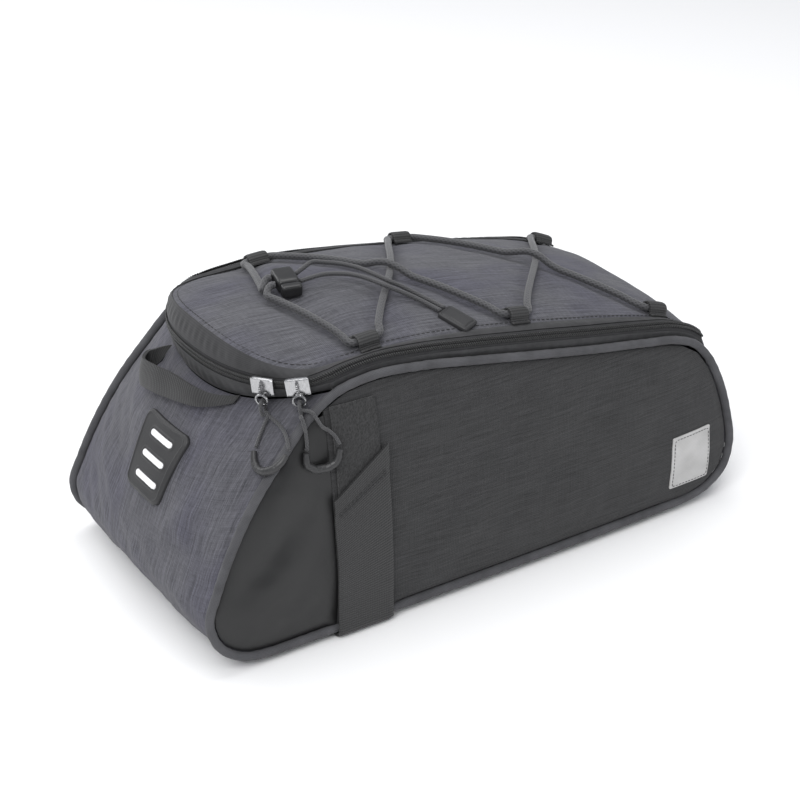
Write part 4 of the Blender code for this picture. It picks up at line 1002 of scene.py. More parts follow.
def disc(
    name, border, place, thickness, finish, node=None, rings=24, power=1.6, swap=False, skin=None
):
    """A wall over a closed flat border. place() sets flat points on the bag, and skin(flat, edge)
    says how far each stands off, edge being its distance from the border."""
    border = np.asarray(border, float)
    count = len(border)
    centre = border.mean(axis=0)
    share = 1 - np.linspace(0, 1, rings + 1)[:-1] ** power
    flat = centre + share[:, None, None] * (border - centre)
    reach = np.linalg.norm(border - centre, axis=1)
    outer = place(flat.reshape(-1, 2)).reshape(rings, count, 3)
    n = outward(outer, closed=True)
    if skin is not None:
        edge = (1 - share)[:, None] * reach
        outer = outer + skin(flat, edge)[..., None] * n
    middle = place(centre[None])[0] + (
        skin(centre[None, None], reach.min() + np.zeros((1, 1)))[0, 0] if skin else 0
    ) * n[-1].mean(0)
    inner = outer - thickness * n
    points = np.vstack(
        [outer.reshape(-1, 3), middle, inner.reshape(-1, 3), middle - thickness * n[-1].mean(0)]
    )
    uv = np.vstack([flat.reshape(-1, 2), centre, flat.reshape(-1, 2), centre])
    if swap:
        uv = uv[:, ::-1]
    total = rings * count + 1
    at = np.arange(rings * count).reshape(rings, count)
    nxt = np.roll(at, -1, 1)
    quads = np.stack([at[:-1], nxt[:-1], nxt[1:], at[1:]], -1).reshape(-1, 4)
    fan = np.stack([at[-1], nxt[-1], np.full(count, total - 1)], -1)
    rim = np.stack([nxt[0], at[0], at[0] + total, nxt[0] + total], -1)
    a, b, c = points[quads[0, 0]], points[quads[0, 1]], points[quads[0, 2]]
    turned = np.cross(b - a, c - b) @ n[0, 0] < 0
    faces = []
    for part, flip in (
        (quads, turned),
        (quads + total, not turned),
        (fan, turned),
        (fan + total, not turned),
        (rim, turned),
    ):
        faces += (part[:, ::-1] if flip else part).tolist()
    return add_piece(name, points, faces, uv, finish, node)


def sweep(points, radius, sides=14):
    """Rings of points round a line, with the distances round and along them."""
    points = np.asarray(points, float)
    radius = np.broadcast_to(np.asarray(radius, float), (len(points),))
    way = unit(np.gradient(points, axis=0))
    side = np.cross(way[0], (0.0, 0.0, 1.0) if abs(way[0][2]) < 0.9 else (1.0, 0.0, 0.0))
    side = side / np.linalg.norm(side)
    turn = np.linspace(0, 2 * math.pi, sides, endpoint=False)
    rings = []
    for place, ahead, r in zip(points, way, radius):
        side = unit(side - ahead * (side @ ahead))
        other = np.cross(ahead, side)
        rings.append(place + r * (np.cos(turn)[:, None] * side + np.sin(turn)[:, None] * other))
    return np.array(rings)


def cord_mesh(name, points, radius, finish, node=None, sides=14, cyclic=False):
    """A round cord or bead along a line of points."""
    rings = sweep(points, radius, sides)
    if cyclic:
        rings = np.concatenate([rings, rings[:1]])
    rows, s = len(rings), along(points)
    s = np.append(s, s[-1] + np.linalg.norm(points[-1] - points[0])) if cyclic else s
    r = float(np.max(radius))
    faces, uvs = [], []
    wide = sides + 1
    rings = np.concatenate([rings, rings[:, :1]], axis=1)
    for i in range(rows):
        for j in range(wide):
            uvs.append((2 * math.pi * r * j / sides, s[i]))
    for i in range(rows - 1):
        for j in range(sides):
            a = i * wide + j
            faces.append((a, a + 1, a + wide + 1, a + wide))
    flat = rings.reshape(-1, 3)
    made = add_piece(name, flat, faces, uvs, finish, node)
    weld(made, cyclic)
    return made


def weld(made, cyclic):
    """Closes a swept mesh along its seam, and its ends if it is open."""
    shape = bmesh.new()
    shape.from_mesh(made.data)
    bmesh.ops.remove_doubles(shape, verts=shape.verts, dist=1e-7)
    if not cyclic:
        bmesh.ops.holes_fill(shape, edges=[e for e in shape.edges if e.is_boundary], sides=0)
    bmesh.ops.recalc_face_normals(shape, faces=shape.faces)
    shape.to_mesh(made.data)
    shape.free()


def many(name, blobs, finish, sharp=50):
    """One piece from many small (points, faces, uvs) shapes."""
    points, faces, uvs, base = [], [], [], 0
    for own, own_faces, own_uvs in blobs:
        points.append(own)
        uvs.append(own_uvs)
        faces += [[k + base for k in face] for face in own_faces]
        base += len(own)
    return add_piece(name, np.vstack(points), faces, np.vstack(uvs), finish, None, sharp)


def grain(start, end, up, radius):
    """One stitch: a small five-sided spindle from start to end, standing a little off the cloth."""
    run = end - start
    side = unit(np.cross(run, up))
    rows = []
    for share, wide in ((0.0, 0.35), (0.2, 0.9), (0.5, 1.0), (0.8, 0.9), (1.0, 0.35)):
        middle = start + share * run + up * radius * (0.5 * wide - 0.2)
        for turn in np.radians((0, 72, 144, 216, 288)):
            rows.append(middle + radius * wide * (math.cos(turn) * side + math.sin(turn) * up))
    faces = [tuple(range(4, -1, -1)), tuple(range(20, 25))]
    for i in range(4):
        for j in range(5):
            k = (j + 1) % 5
            faces.append((i * 5 + j, i * 5 + k, i * 5 + 5 + k, i * 5 + 5 + j))
    return np.array(rows), faces, np.zeros((25, 2))


def stitches(name, lines, finish, pitch=0.0028, radius=0.00032):
    """Rows of stitches: each line is points and the cloth's normals at them."""
    blobs = []
    for points, ups in lines:
        s = along(points)
        count = max(2, int(s[-1] / pitch))
        for i in range(count):
            a, b = (s[-1] * (i + share) / count for share in (0.12, 0.88))
            ends = [np.array([np.interp(t, s, points[:, k]) for k in range(3)]) for t in (a, b)]
            up = unit(np.array([np.interp((a + b) / 2, s, ups[:, k]) for k in range(3)]))
            blobs.append(grain(ends[0], ends[1], up, radius))
    return many(name, blobs, finish)


# The pieces

# Mesh densities: points over a panel, rings from a border to its middle, rows over a band or tape
REAR_GRID = (171, 151)
FRONT_GRID = (121, 91)
BASE_GRID = (81, 71)
SIDE_RINGS = 46
CORNER_RINGS = 34
LID_RINGS = 72
PATCH_RINGS = 52
BAND_ROWS = 17
TAPE_ROWS = 7

# The zip's coil
COIL_PITCH = 0.00135
TURN_REACH = 0.00205  # from the coil's middle out to the tape
TURN_SLANT = 0.00075
TURN_WIDE = 0.00053
TURN_TALL = 0.0005
TAPE_DEPTH = 0.0007  # the tape under the coil's middle
TAPE_WALL = 0.0009

# Depth and width of the cloth's dip beside each seam
REAR_SEAM = (0.0012, 0.005)
FRONT_SEAM = (0.0010, 0.005)
SIDE_SEAM = (0.0011, 0.004)
CORNER_SEAM = (0.0010, 0.004)
LID_SEAM = (0.0011, 0.0035)

# The lid under the elastic cord
CORD_PRESS = 0.0013
CORD_PRESS_WIDTH = 0.0065
LID_PLUMP = 0.0006  # the cloth's rise between the cords
LID_PLUMP_WIDTH = 0.016

# Soft random waves in the cloth
REAR_WAVES = (
    # height, stretch across and down, wavelength, seed
    (0.00055, (1.0, 1.3), 0.045, 5),
    (0.00028, (1.6, 1.0), 0.016, 6),
)
LID_WAVES = (
    # height, stretch along and across, wavelength, seed
    (0.0004, (1.0, 1.0), 0.045, 71),
    (0.0002, (1.0, 1.0), 0.017, 72),
)

def dense(grid, rows, columns):
    """A grid of points resampled evenly by index."""
    a = np.linspace(0, len(grid) - 1, rows)
    b = np.linspace(0, grid.shape[1] - 1, columns)
    i, j = np.clip(a.astype(int), 0, len(grid) - 2), np.clip(b.astype(int), 0, grid.shape[1] - 2)
    s, t = (a - i)[:, None, None], (b - j)[None, :, None]
    near = grid[i][:, j] * (1 - t) + grid[i][:, j + 1] * t
    far = grid[i + 1][:, j] * (1 - t) + grid[i + 1][:, j + 1] * t
    return near * (1 - s) + far * s


def ripples(flat, waves):
    """The sum of soft random waves, given as height, stretch along and across, wavelength and seed."""
    total = 0.0
    for height, stretch, wavelength, seed in waves:
        total = total + height * soft_noise(flat * stretch, wavelength, seed)
    return total


def folds(flat, table):
    """The sum of soft ridges: each has two ends, a height and a width."""
    total = np.zeros(flat.shape[:-1])
    for ax, ay, bx, by, height, width in table:
        a, b = np.array([ax, ay]), np.array([bx, by])
        run = b - a
        t = np.clip((flat - a) @ run / (run @ run), 0, 1)
        gap = np.linalg.norm(flat - a - t[..., None] * run, axis=-1)
        total += height * np.exp(-((gap / width) ** 2)) * np.sin(math.pi * np.clip(t, 0.03, 0.97)) ** 0.5
    return total


def seam_dip(edge, depth, width):
    """How far the cloth dips towards a seam, at a distance from it."""
    return -depth * np.exp(-np.clip(edge, 0, None) / width)


def build_rear(paint):
    """The padded rear panel, pulled in at its seams, with soft folds over it."""
    columns, rows = REAR_GRID
    f = np.linspace(-1, 1, columns)
    share = np.linspace(0, 1, rows)[:, None]
    places = band_dip_place(f) * (1 - share) + PLACE["rear_foot"] * share
    grid = girth(places, f + 0 * places)
    uv = grid_uv(grid)
    n = outward(grid)
    half = WIDTH / 2
    down = along(grid[:, columns // 2])[:, None] + 0 * f
    edge = np.minimum((1 - np.abs(f)) * half + 0 * down, np.minimum(down, down[-1] - down))
    fade = 1 - np.exp(-edge / 0.010)
    flat = np.stack([grid[..., 1], down], -1)
    ripple = ripples(flat, REAR_WAVES) + folds(flat, REAR_FOLDS)
    phase = flat[..., 1] * 2 * math.pi / 0.009 + 1.5 * soft_noise(flat, 0.03, 8)
    pucker = 0.0005 * np.sin(phase) * np.exp(-edge / 0.006)
    off = seam_dip(edge, *REAR_SEAM) + fade * ripple + pucker * (1 - np.exp(-edge / 0.0015))
    patch_at = np.linalg.norm((flat - [PATCH_Y * WIDTH, 0.057]) / [0.026, 0.028], axis=-1)
    off = np.where(patch_at < 1.3, off * np.clip((patch_at - 1.0) / 0.3, 0.12, 1) - 0.0002, off)
    cloth(
        "rear_cloth",
        grid + off[..., None] * n,
        WALL,
        paint["heather_rear"],
        "rear_panel",
        uv,
        True,
    )


REAR_FOLDS = (
    # across, down, to across, down, height, width
    (-0.030, 0.008, -0.060, 0.030, -0.0013, 0.005),
    (-0.036, 0.004, -0.050, 0.045, 0.0009, 0.006),
    (0.028, 0.006, 0.050, 0.036, -0.0012, 0.005),
    (-0.070, 0.045, -0.030, 0.075, 0.0010, 0.009),
    (-0.078, 0.075, -0.020, 0.098, -0.0010, 0.008),
    (-0.055, 0.100, 0.030, 0.112, 0.0009, 0.008),
    (0.020, 0.092, 0.072, 0.062, 0.0011, 0.009),
    (0.035, 0.085, 0.070, 0.100, -0.0009, 0.007),
)


def build_front(paint):
    """The front panel, whose top edge meets the band's ends and the lid's front."""
    columns, rows = FRONT_GRID
    f = np.linspace(-1, 1, columns)
    start = PLACE["front_brow"]
    places = np.linspace(start, PLACE["front_foot"], rows)[:, None]
    grid = girth(places + 0 * f, f + 0 * places)
    lift = front_edge(f) - grid[0]
    fade = np.clip(1 - (start - places) / (0.25 * SIDE_HEIGHT), 0, 1)[..., None] ** 2
    outer = grid + fade * lift
    uv = grid_uv(outer)
    n = outward(outer)
    down = along(outer[:, columns // 2])[:, None] + 0 * f
    edge = np.minimum((1 - np.abs(f)) * WIDTH / 2 + 0 * down, np.minimum(down, down[-1] - down))
    flat = np.stack([outer[..., 1], down], -1)
    off = (1 - np.exp(-edge / 0.01)) * 0.0006 * soft_noise(flat, 0.04, 15) + seam_dip(edge, *FRONT_SEAM)
    cloth(
        "front_cloth",
        outer + off[..., None] * n,
        0.0022,
        paint["heather_rear"],
        "front_panel",
        uv,
        True,
    )


def build_base(paint):
    """The base in plain black cloth, recessed over each strap."""
    columns, rows = BASE_GRID
    f = np.linspace(-1, 1, columns)
    places = np.linspace(PLACE["rear_foot"] + 3 * GAP, PLACE["front_foot"] - 3 * GAP, rows)[:, None]
    grid = girth(places + 0 * f, f + 0 * places)
    uv = grid_uv(grid)
    middle = REAR_X + STRAP_X * LENGTH
    near_x = np.clip((STRAP_WIDTH / 2 + 0.0012 - np.abs(grid[..., 0] - middle)) / 0.001, 0, 1)
    near_y = np.clip((np.abs(grid[..., 1]) - (WIDTH / 2 - STRAP_UNDER - 0.001)) / 0.001, 0, 1)
    grid[..., 2] = np.maximum(grid[..., 2], (STRAP_THICKNESS + 2 * GAP) * near_x * near_y)
    rise = 0.0003 + 0.00025 * soft_noise(grid[..., :2], 0.05, 21)
    grid[..., 2] += np.clip(rise, 0, 1) * (grid[..., 2] > 0.0001) * (1 - near_x * near_y)
    n = np.zeros_like(grid) - [0, 0, 1]
    cloth("base_cloth", grid, BASE_WALL, paint["black"], "base_panel", uv, True, normals=n)


SIDE_FOLDS = (
    # along, high, to along, high, height, width
    (-0.060, 0.050, 0.020, 0.030, 0.0007, 0.008),
    (-0.050, 0.085, 0.060, 0.060, -0.0006, 0.009),
    (0.030, 0.080, 0.120, 0.040, 0.0006, 0.009),
    (0.060, 0.025, 0.150, 0.050, -0.0006, 0.007),
    (-0.020, 0.105, 0.070, 0.090, 0.0005, 0.006),
)


def build_sides(paint):
    """The side panels and, behind each strap, the coated corner."""
    split = REAR_X + STRAP_X * LENGTH - STRAP_WIDTH / 2 + 3 * GAP
    for side, word in ((-1, "right"), (1, "left")):

        def place(flat, side=side):
            y = np.concatenate([side_y(part[:, 0], part[:, 1]) for part in np.array_split(flat, 12)])
            return np.stack([flat[:, 0], side * y, flat[:, 1]], 1)

        def skin(flat, edge, seed=31 if side < 0 else 41):
            fade = 1 - np.exp(-edge / 0.012)
            ripple = ripples(flat, ((0.0005, (1, 1.3), 0.05, seed), (0.0002, (1, 1), 0.018, seed + 1)))
            middle = REAR_X + STRAP_X * LENGTH
            strap = np.clip(1 - (np.abs(flat[..., 0] - middle) - STRAP_WIDTH / 2) / 0.01, 0, 1)
            label = np.linalg.norm((flat - [REAR_X + LABEL_X * LENGTH, 0.035]) / [0.021, 0.023], axis=-1)
            bare = np.minimum(1 - strap, np.clip(label - 1, 0, 0.5) * 2)
            return fade * (ripple + folds(flat, SIDE_FOLDS)) * bare + seam_dip(edge, *SIDE_SEAM) * bare

        border = fine_border(side_border(low_x=split + GAP / 2))
        disc(
            f"side_cloth_{word}",
            border,
            place,
            WALL,
            paint["heather_side"],
            f"side_panel_{word}",
            SIDE_RINGS,
            1.25,
            skin=skin,
        )

        def smooth_skin(flat, edge, seed=51 if side < 0 else 61):
            fade = 1 - np.exp(-edge / 0.010)
            ripple = ripples(flat, ((0.0006, (1.5, 1), 0.05, seed), (0.00012, (1, 1), 0.012, seed + 1)))
            middle = REAR_X + STRAP_X * LENGTH
            strap = np.clip(1 - (middle - STRAP_WIDTH / 2 - flat[..., 0]) / 0.006, 0, 1)
            off = fade * (ripple + folds(flat, CORNER_FOLDS)) + seam_dip(edge, *CORNER_SEAM)
            return off * (1 - strap)

        border = fine_border(side_border(high_x=split - GAP / 2))
        disc(
            f"coated_corner_{word}",
            border,
            place,
            WALL,
            paint["coated"],
            f"corner_panel_{word}",
            CORNER_RINGS,
            1.25,
            skin=smooth_skin,
        )


CORNER_FOLDS = (
    (-0.165, 0.030, -0.120, 0.062, 0.0010, 0.007),
    (-0.160, 0.048, -0.118, 0.085, -0.0008, 0.006),
    (-0.140, 0.020, -0.108, 0.040, 0.0008, 0.006),
)


def fine_border(border, count=320):
    """The same closed border with more points, evenly spaced."""
    return evenly(border, count, closed=True)


def build_piping(paint):
    """Cloth piping: a bead with faint gathers round each side panel."""
    for side, word in ((-1, "right"), (1, "left")):
        ring = inset_outline(PIPING_SINK, 700)
        half = side_half(ring[:, 0], ring[:, 1]) - PIPING_SINK
        points = np.stack([ring[:, 0], side * half, ring[:, 1]], 1)
        s = along(points)
        gather = 1 + 0.035 * np.sin(s * 2 * math.pi / 0.0075) * np.sin(s * 2 * math.pi / 0.061) - 0.03
        cord_mesh(
            f"piping_bead_{word}",
            points,
            PIPING_RADIUS * gather,
            paint["piping"],
            f"piping_{word}",
            16,
            True,
        )


def build_lid(paint):
    """The lid's top, pressed in under the cords, with its band of two cloth strips and the coil."""
    x_front = REAR_X + LID_FRONT * LENGTH
    seam = band_rails(x_front, 60, 121)[2][:, :2]
    middle = seam.mean(axis=0)
    seam = seam + (middle - seam) * GAP / np.linalg.norm(middle - seam, axis=1)[:, None]
    front = np.linspace(seam[-1], seam[0], 41)[1:-1]
    border = fine_border(np.vstack([seam, front])[::-1], 400)

    def place(flat):
        return np.stack([flat[:, 0], flat[:, 1], lid_z(flat[:, 0], flat[:, 1])], 1)

    routes = [line[:, :2] for line in (bungee_line("left"), bungee_line("right"))]

    def skin(flat, edge):
        near = np.full(flat.shape[:2], 1.0)
        points = flat.reshape(-1, 2)
        for route in routes:
            gap = np.min([np.linalg.norm(points - spot, axis=1) for spot in evenly(route, 240)], axis=0)
            near = np.minimum(near, gap.reshape(near.shape))
        press = -CORD_PRESS * np.exp(-((near / CORD_PRESS_WIDTH) ** 2))
        plump = LID_PLUMP * (1 - np.exp(-near / LID_PLUMP_WIDTH))
        ripple = ripples(flat, LID_WAVES)
        fade = 1 - np.exp(-edge / 0.009)
        return fade * (press + plump + ripple - 0.0004) + seam_dip(edge, *LID_SEAM)

    disc(
        "lid_cloth",
        border,
        place,
        WALL,
        paint["heather_lid"],
        "lid_panel",
        LID_RINGS,
        1.15,
        skin=skin,
    )

    rails = []
    for rail in band_rails(x_front - 6 * GAP, 60, 161):
        rails.append(dense(rail[:, None, :].repeat(2, 1), 700, 2)[:, 0])
    width = np.linalg.norm(rails[2] - rails[0], axis=1)
    half_zip = (ZIP_WIDTH / 2) / width
    gap = GAP / width
    s = along(rails[1])
    for name, low, high, node in (
        ("band_cloth_lower", 0 * gap, 0.5 - half_zip - gap, "zip_band_lower"),
        ("band_cloth_upper", 0.5 + half_zip + 2 * gap, 1 - gap, "zip_band_upper"),
    ):
        rows = []
        for share in np.linspace(0, 1, BAND_ROWS):
            rows.append(on_band(rails, low + share * (high - low)))
        grid = np.stack(rows, 0)
        n = outward(grid)
        t = np.linspace(0, 1, BAND_ROWS)[:, None]
        ripple = 0.00022 * soft_noise(np.stack([s + 0 * t, 0.02 * t + 0 * s], -1), 0.03, 81)
        pucker = 0.00018 * np.sin(s * 2 * math.pi / 0.0062) * np.sin(math.pi * t)
        off = (ripple + pucker) * np.sin(math.pi * t) - 0.0004 * (1 - np.sin(math.pi * t)) * 0.5
        uv = np.stack(np.broadcast_arrays(s[None, :], t * width.mean() * 0.4), -1)
        cloth(name, grid + off[..., None] * n, 0.0012, paint["black"], node, uv, True)
    build_coil(paint, rails, half_zip)


def build_coil(paint, rails, half_zip):
    """The zipper: two tape edges and, between them, two rows of slanted coil turns."""
    line = on_band(rails, 0.5)
    low, high = on_band(rails, 0.5 - half_zip), on_band(rails, 0.5 + half_zip)
    s = along(line)
    count = int(s[-1] / COIL_PITCH)
    at = np.linspace(0, s[-1], count + 2)[1:-1]

    def sample(points, t):
        return np.stack([np.interp(t, s, points[:, k]) for k in range(3)], 1)

    run = unit(np.gradient(line, axis=0))
    across = unit(high - low)
    up = np.cross(run, across)
    up *= np.sign(np.sum(up * (line - MIDDLE)))
    c, r, a, u = sample(line, at), unit(sample(run, at)), unit(sample(across, at)), unit(sample(up, at))
    blobs = []
    for i in range(count):
        for way in (-1, 1):
            start = c[i] + a[i] * way * 0.0001 - r[i] * 0.0001
            end = c[i] + a[i] * way * TURN_REACH + r[i] * (TURN_SLANT * way)
            blobs.append(capsule(start + u[i] * 0.00012, end, u[i], TURN_WIDE, TURN_TALL))
    many("coil_teeth", blobs, paint["coil"])
    for word, w0, w1, over, node in (
        ("low", 0.5 - half_zip, 0.5, 0.0, "zip_chain"),
        ("high", 0.5, 0.5 + half_zip, 0.00002, None),
    ):
        rows = []
        for t in np.linspace(0, 1, TAPE_ROWS):
            rows.append(on_band(rails, w0 + (w1 - w0) * t))
        grid = np.stack(rows, 0) - TAPE_DEPTH * up
        t = np.linspace(0, 1, TAPE_ROWS)[:, None]
        uv = np.stack(np.broadcast_arrays(s[None, :], t * ZIP_WIDTH / 2), -1)
        cloth(f"zip_tape_{word}", grid + over * up, TAPE_WALL, paint["tape"], node, uv, True)


def capsule(start, end, up, wide, tall, sides=6):
    """A small rounded bar from start to end."""
    run = end - start
    side = unit(np.cross(run, up))
    top = unit(np.cross(side, run))
    rows = []
    for share, full in ((0.0, 0.45), (0.12, 1.0), (0.88, 1.0), (1.0, 0.45)):
        for turn in np.linspace(0, 2 * math.pi, sides, endpoint=False):
            rows.append(
                start + share * run + full * (wide * math.cos(turn) * side + tall * math.sin(turn) * top)
            )
    faces = [tuple(range(sides - 1, -1, -1)), tuple(range(3 * sides, 4 * sides))]
    for i in range(3):
        for j in range(sides):
            k = (j + 1) % sides
            faces.append((i * sides + j, i * sides + k, (i + 1) * sides + k, (i + 1) * sides + j))
    return np.array(rows), faces, np.zeros((4 * sides, 2))


def rounded_block(size, place, axes, corner, cuts=5):
    """A box with soft edges as (points, faces, uvs), its own x, y and z along the axes given."""
    size = np.asarray(size, float) / 2
    points, faces, uvs = [], [], []
    t = np.linspace(-1, 1, cuts)
    t = np.sign(t) * (1 - (1 - np.abs(t)) ** 1.6)
    for axis in range(3):
        for way in (-1, 1):
            base = len(points)
            for p in t:
                for q in t:
                    spot = np.zeros(3)
                    spot[axis] = way
                    spot[(axis + 1) % 3], spot[(axis + 2) % 3] = p, q
                    inner = np.clip(spot * size, -(size - corner), size - corner)
                    out = spot * size - inner
                    length = np.linalg.norm(out)
                    points.append(inner + (out / length * corner if length > 0 else 0))
                    uvs.append((p * size[(axis + 1) % 3], q * size[(axis + 2) % 3]))
            for i in range(cuts - 1):
                for j in range(cuts - 1):
                    a = base + i * cuts + j
                    face = (a, a + cuts, a + cuts + 1, a + 1)
                    faces.append(face if way > 0 else face[::-1])
    points = np.array(points) @ np.array(axes, float) + place
    if np.linalg.det(np.array(axes, float)) < 0:
        faces = [face[::-1] for face in faces]
    return points, faces, np.array(uvs)


def strap_line(side):
    """The strap's middle surface down the side, round the edge and in under the base, as a
    grid of points, one row for each place along it."""
    middle = REAR_X + STRAP_X * LENGTH
    x = middle + STRAP_WIDTH * np.linspace(-0.5, 0.5, 33)
    share = np.linspace(0, 1, 33)
    cut = BASE_DROP + SIDE_HEIGHT * (STRAP_CUT_LOW + (STRAP_CUT_HIGH - STRAP_CUT_LOW) * share)
    foot = BASE_DROP + 0.11 * SIDE_HEIGHT
    down = np.linspace(0, 1, 60)[:, None]
    zz = cut * (1 - down) + foot * down
    xx = x + 0 * zz
    off = 2 * GAP + LOOP_STRIP_THICKNESS + STRAP_THICKNESS / 2
    upper = np.stack([xx, side * (side_y(xx, zz) + off), zz], -1)
    edge_z = BASE_DROP + PIPING_SINK
    edge_y = side_half(middle, edge_z) - PIPING_SINK
    drop = edge_z - STRAP_THICKNESS / 2
    turn = np.radians(np.linspace(0, 90, 14))[:, None]
    bend = np.stack(
        [x + 0 * turn, side * (edge_y + drop * np.cos(turn) + 0 * x), edge_z - drop * np.sin(turn) + 0 * x],
        -1,
    )
    inner = WIDTH / 2 - STRAP_UNDER + GAP
    yy = np.linspace(edge_y, inner, 20)[1:, None] + 0 * x
    under = np.stack([x + 0 * yy, side * yy, 0 * yy + STRAP_THICKNESS / 2], -1)
    rows = np.concatenate([upper, bend, under])
    s = along(rows[:, 16])
    at = np.linspace(0, s[-1], 150)
    grid = np.empty((150, 33, 3))
    for j in range(33):
        for k in range(3):
            grid[:, j, k] = np.interp(at, s, rows[:, j, k])
    return grid


def build_straps(paint):
    """Loop tape, and its strap, whose slanted end has a raised hem and two rows of stitches."""
    middle = REAR_X + STRAP_X * LENGTH
    lines = []
    for side, word in ((-1, "right"), (1, "left")):
        x = middle + LOOP_STRIP_WIDTH * np.linspace(-0.5, 0.5, 41)
        z = BASE_DROP + SIDE_HEIGHT * np.linspace(STRIP_TOP, 0.09, 160)[:, None]
        zz, xx = z + 0 * x, x + 0 * z
        rough = 0.00012 * soft_noise(np.stack([xx, zz], -1), 0.003, 91)
        off = LOOP_STRIP_THICKNESS + GAP + rough - 0.00012
        grid = np.stack([xx, side * (side_y(xx, zz) + off), zz], -1)
        cloth(f"loop_tape_{word}", grid, 0.0009, paint["loop"], f"loop_strip_{word}")
        grid = strap_line(side)
        n = outward(grid)
        t = np.linspace(-1, 1, grid.shape[1])
        s = along(grid[:, 16])[:, None]
        hem = 0.00055 / (1 + np.exp((s - 0.011) / 0.0004))
        flat = np.stack([s + 0 * t, 0 * s + 0.02 * t], -1)
        wave = 0.00035 * soft_noise(flat, 0.05, 95) * np.clip(s / 0.02, 0, 1) * (s < 0.07)
        selvedge = 0.0005 * np.clip(np.abs(t) - 0.9, 0, 1) / 0.1
        lift = STRAP_THICKNESS / 2 - 0.0004 + hem + np.clip(wave, -0.0003, 0.0006) - selvedge
        lift = np.minimum(lift, STRAP_THICKNESS / 2 + 0.0003)
        lift = np.where(grid[..., 2] < 0.0055, np.minimum(lift, STRAP_THICKNESS / 2 - 0.0002), lift)
        uv = np.stack(np.broadcast_arrays(t[None, :] * STRAP_WIDTH / 2, s), -1)
        cloth(
            f"strap_web_{word}",
            grid + lift[..., None] * n,
            0.0014,
            paint["webbing"],
            f"webbing_strap_{word}",
            uv,
        )
        for row in (12, 14):
            inner = grid[row, 2:-2] + (STRAP_THICKNESS / 2 + 0.0002) * n[row, 2:-2]
            lines.append((inner, n[row, 2:-2]))
    stitches("strap_stitches", lines, paint["thread"], radius=0.00028)


def build_handle(paint):
    """The ribbed grab loop, narrowing to its sewn ends."""
    run = smooth_curve(HANDLE, per_span=16)
    y = HANDLE_SPAN * run[:, 0]
    out, up, wide = np.clip(run[:, 1:].T, [[0], [-1], [0]], 1)
    top = rear_place(BASE_DROP + HANDLE_Z * SIDE_HEIGHT)
    edge = band_dip_place(y / (side_half(KNOT["rear_top"][0], KNOT["rear_top"][1]) - SEAM_INSET)) + 2 * GAP
    upright = np.clip(out / 0.4, 0, 1)[:, None]
    off = HANDLE_THICKNESS / 2 + GAP + 0.0003
    flat = rear_surface(y, top, off)
    rows = []
    for share in np.linspace(-0.5, 0.5, 13):
        lying = rear_surface(y, edge + (0.5 - share) * wide * HANDLE_WIDTH, off)
        standing = flat + (share * wide * HANDLE_WIDTH)[:, None] * [0.17, 0, 0.985]
        row = lying * (1 - upright) + standing * upright
        row += out[:, None] * [-HANDLE_BOW, 0, 0] + up[:, None] * upright * [0, 0, HANDLE_WIDTH]
        row += (0.0010 * (1 - 4 * share**2) * upright) * [-1, 0, 0]
        rows.append(row)
    grid = np.stack(rows, 0)
    across = along(grid[6])
    n = unit(np.cross(np.gradient(grid, axis=1), np.gradient(grid, axis=0)))
    n *= np.sign(np.sum(n[6, 40] * [-1, 0, 0]))
    uv = np.stack(
        np.broadcast_arrays(np.linspace(-0.5, 0.5, 13)[:, None] * HANDLE_WIDTH, across[None, :]), -1
    )
    cloth(
        "grab_loop",
        grid + 0.45 * HANDLE_THICKNESS * n,
        0.9 * HANDLE_THICKNESS,
        paint["webbing"],
        "rear_handle",
        uv,
        normals=n,
    )


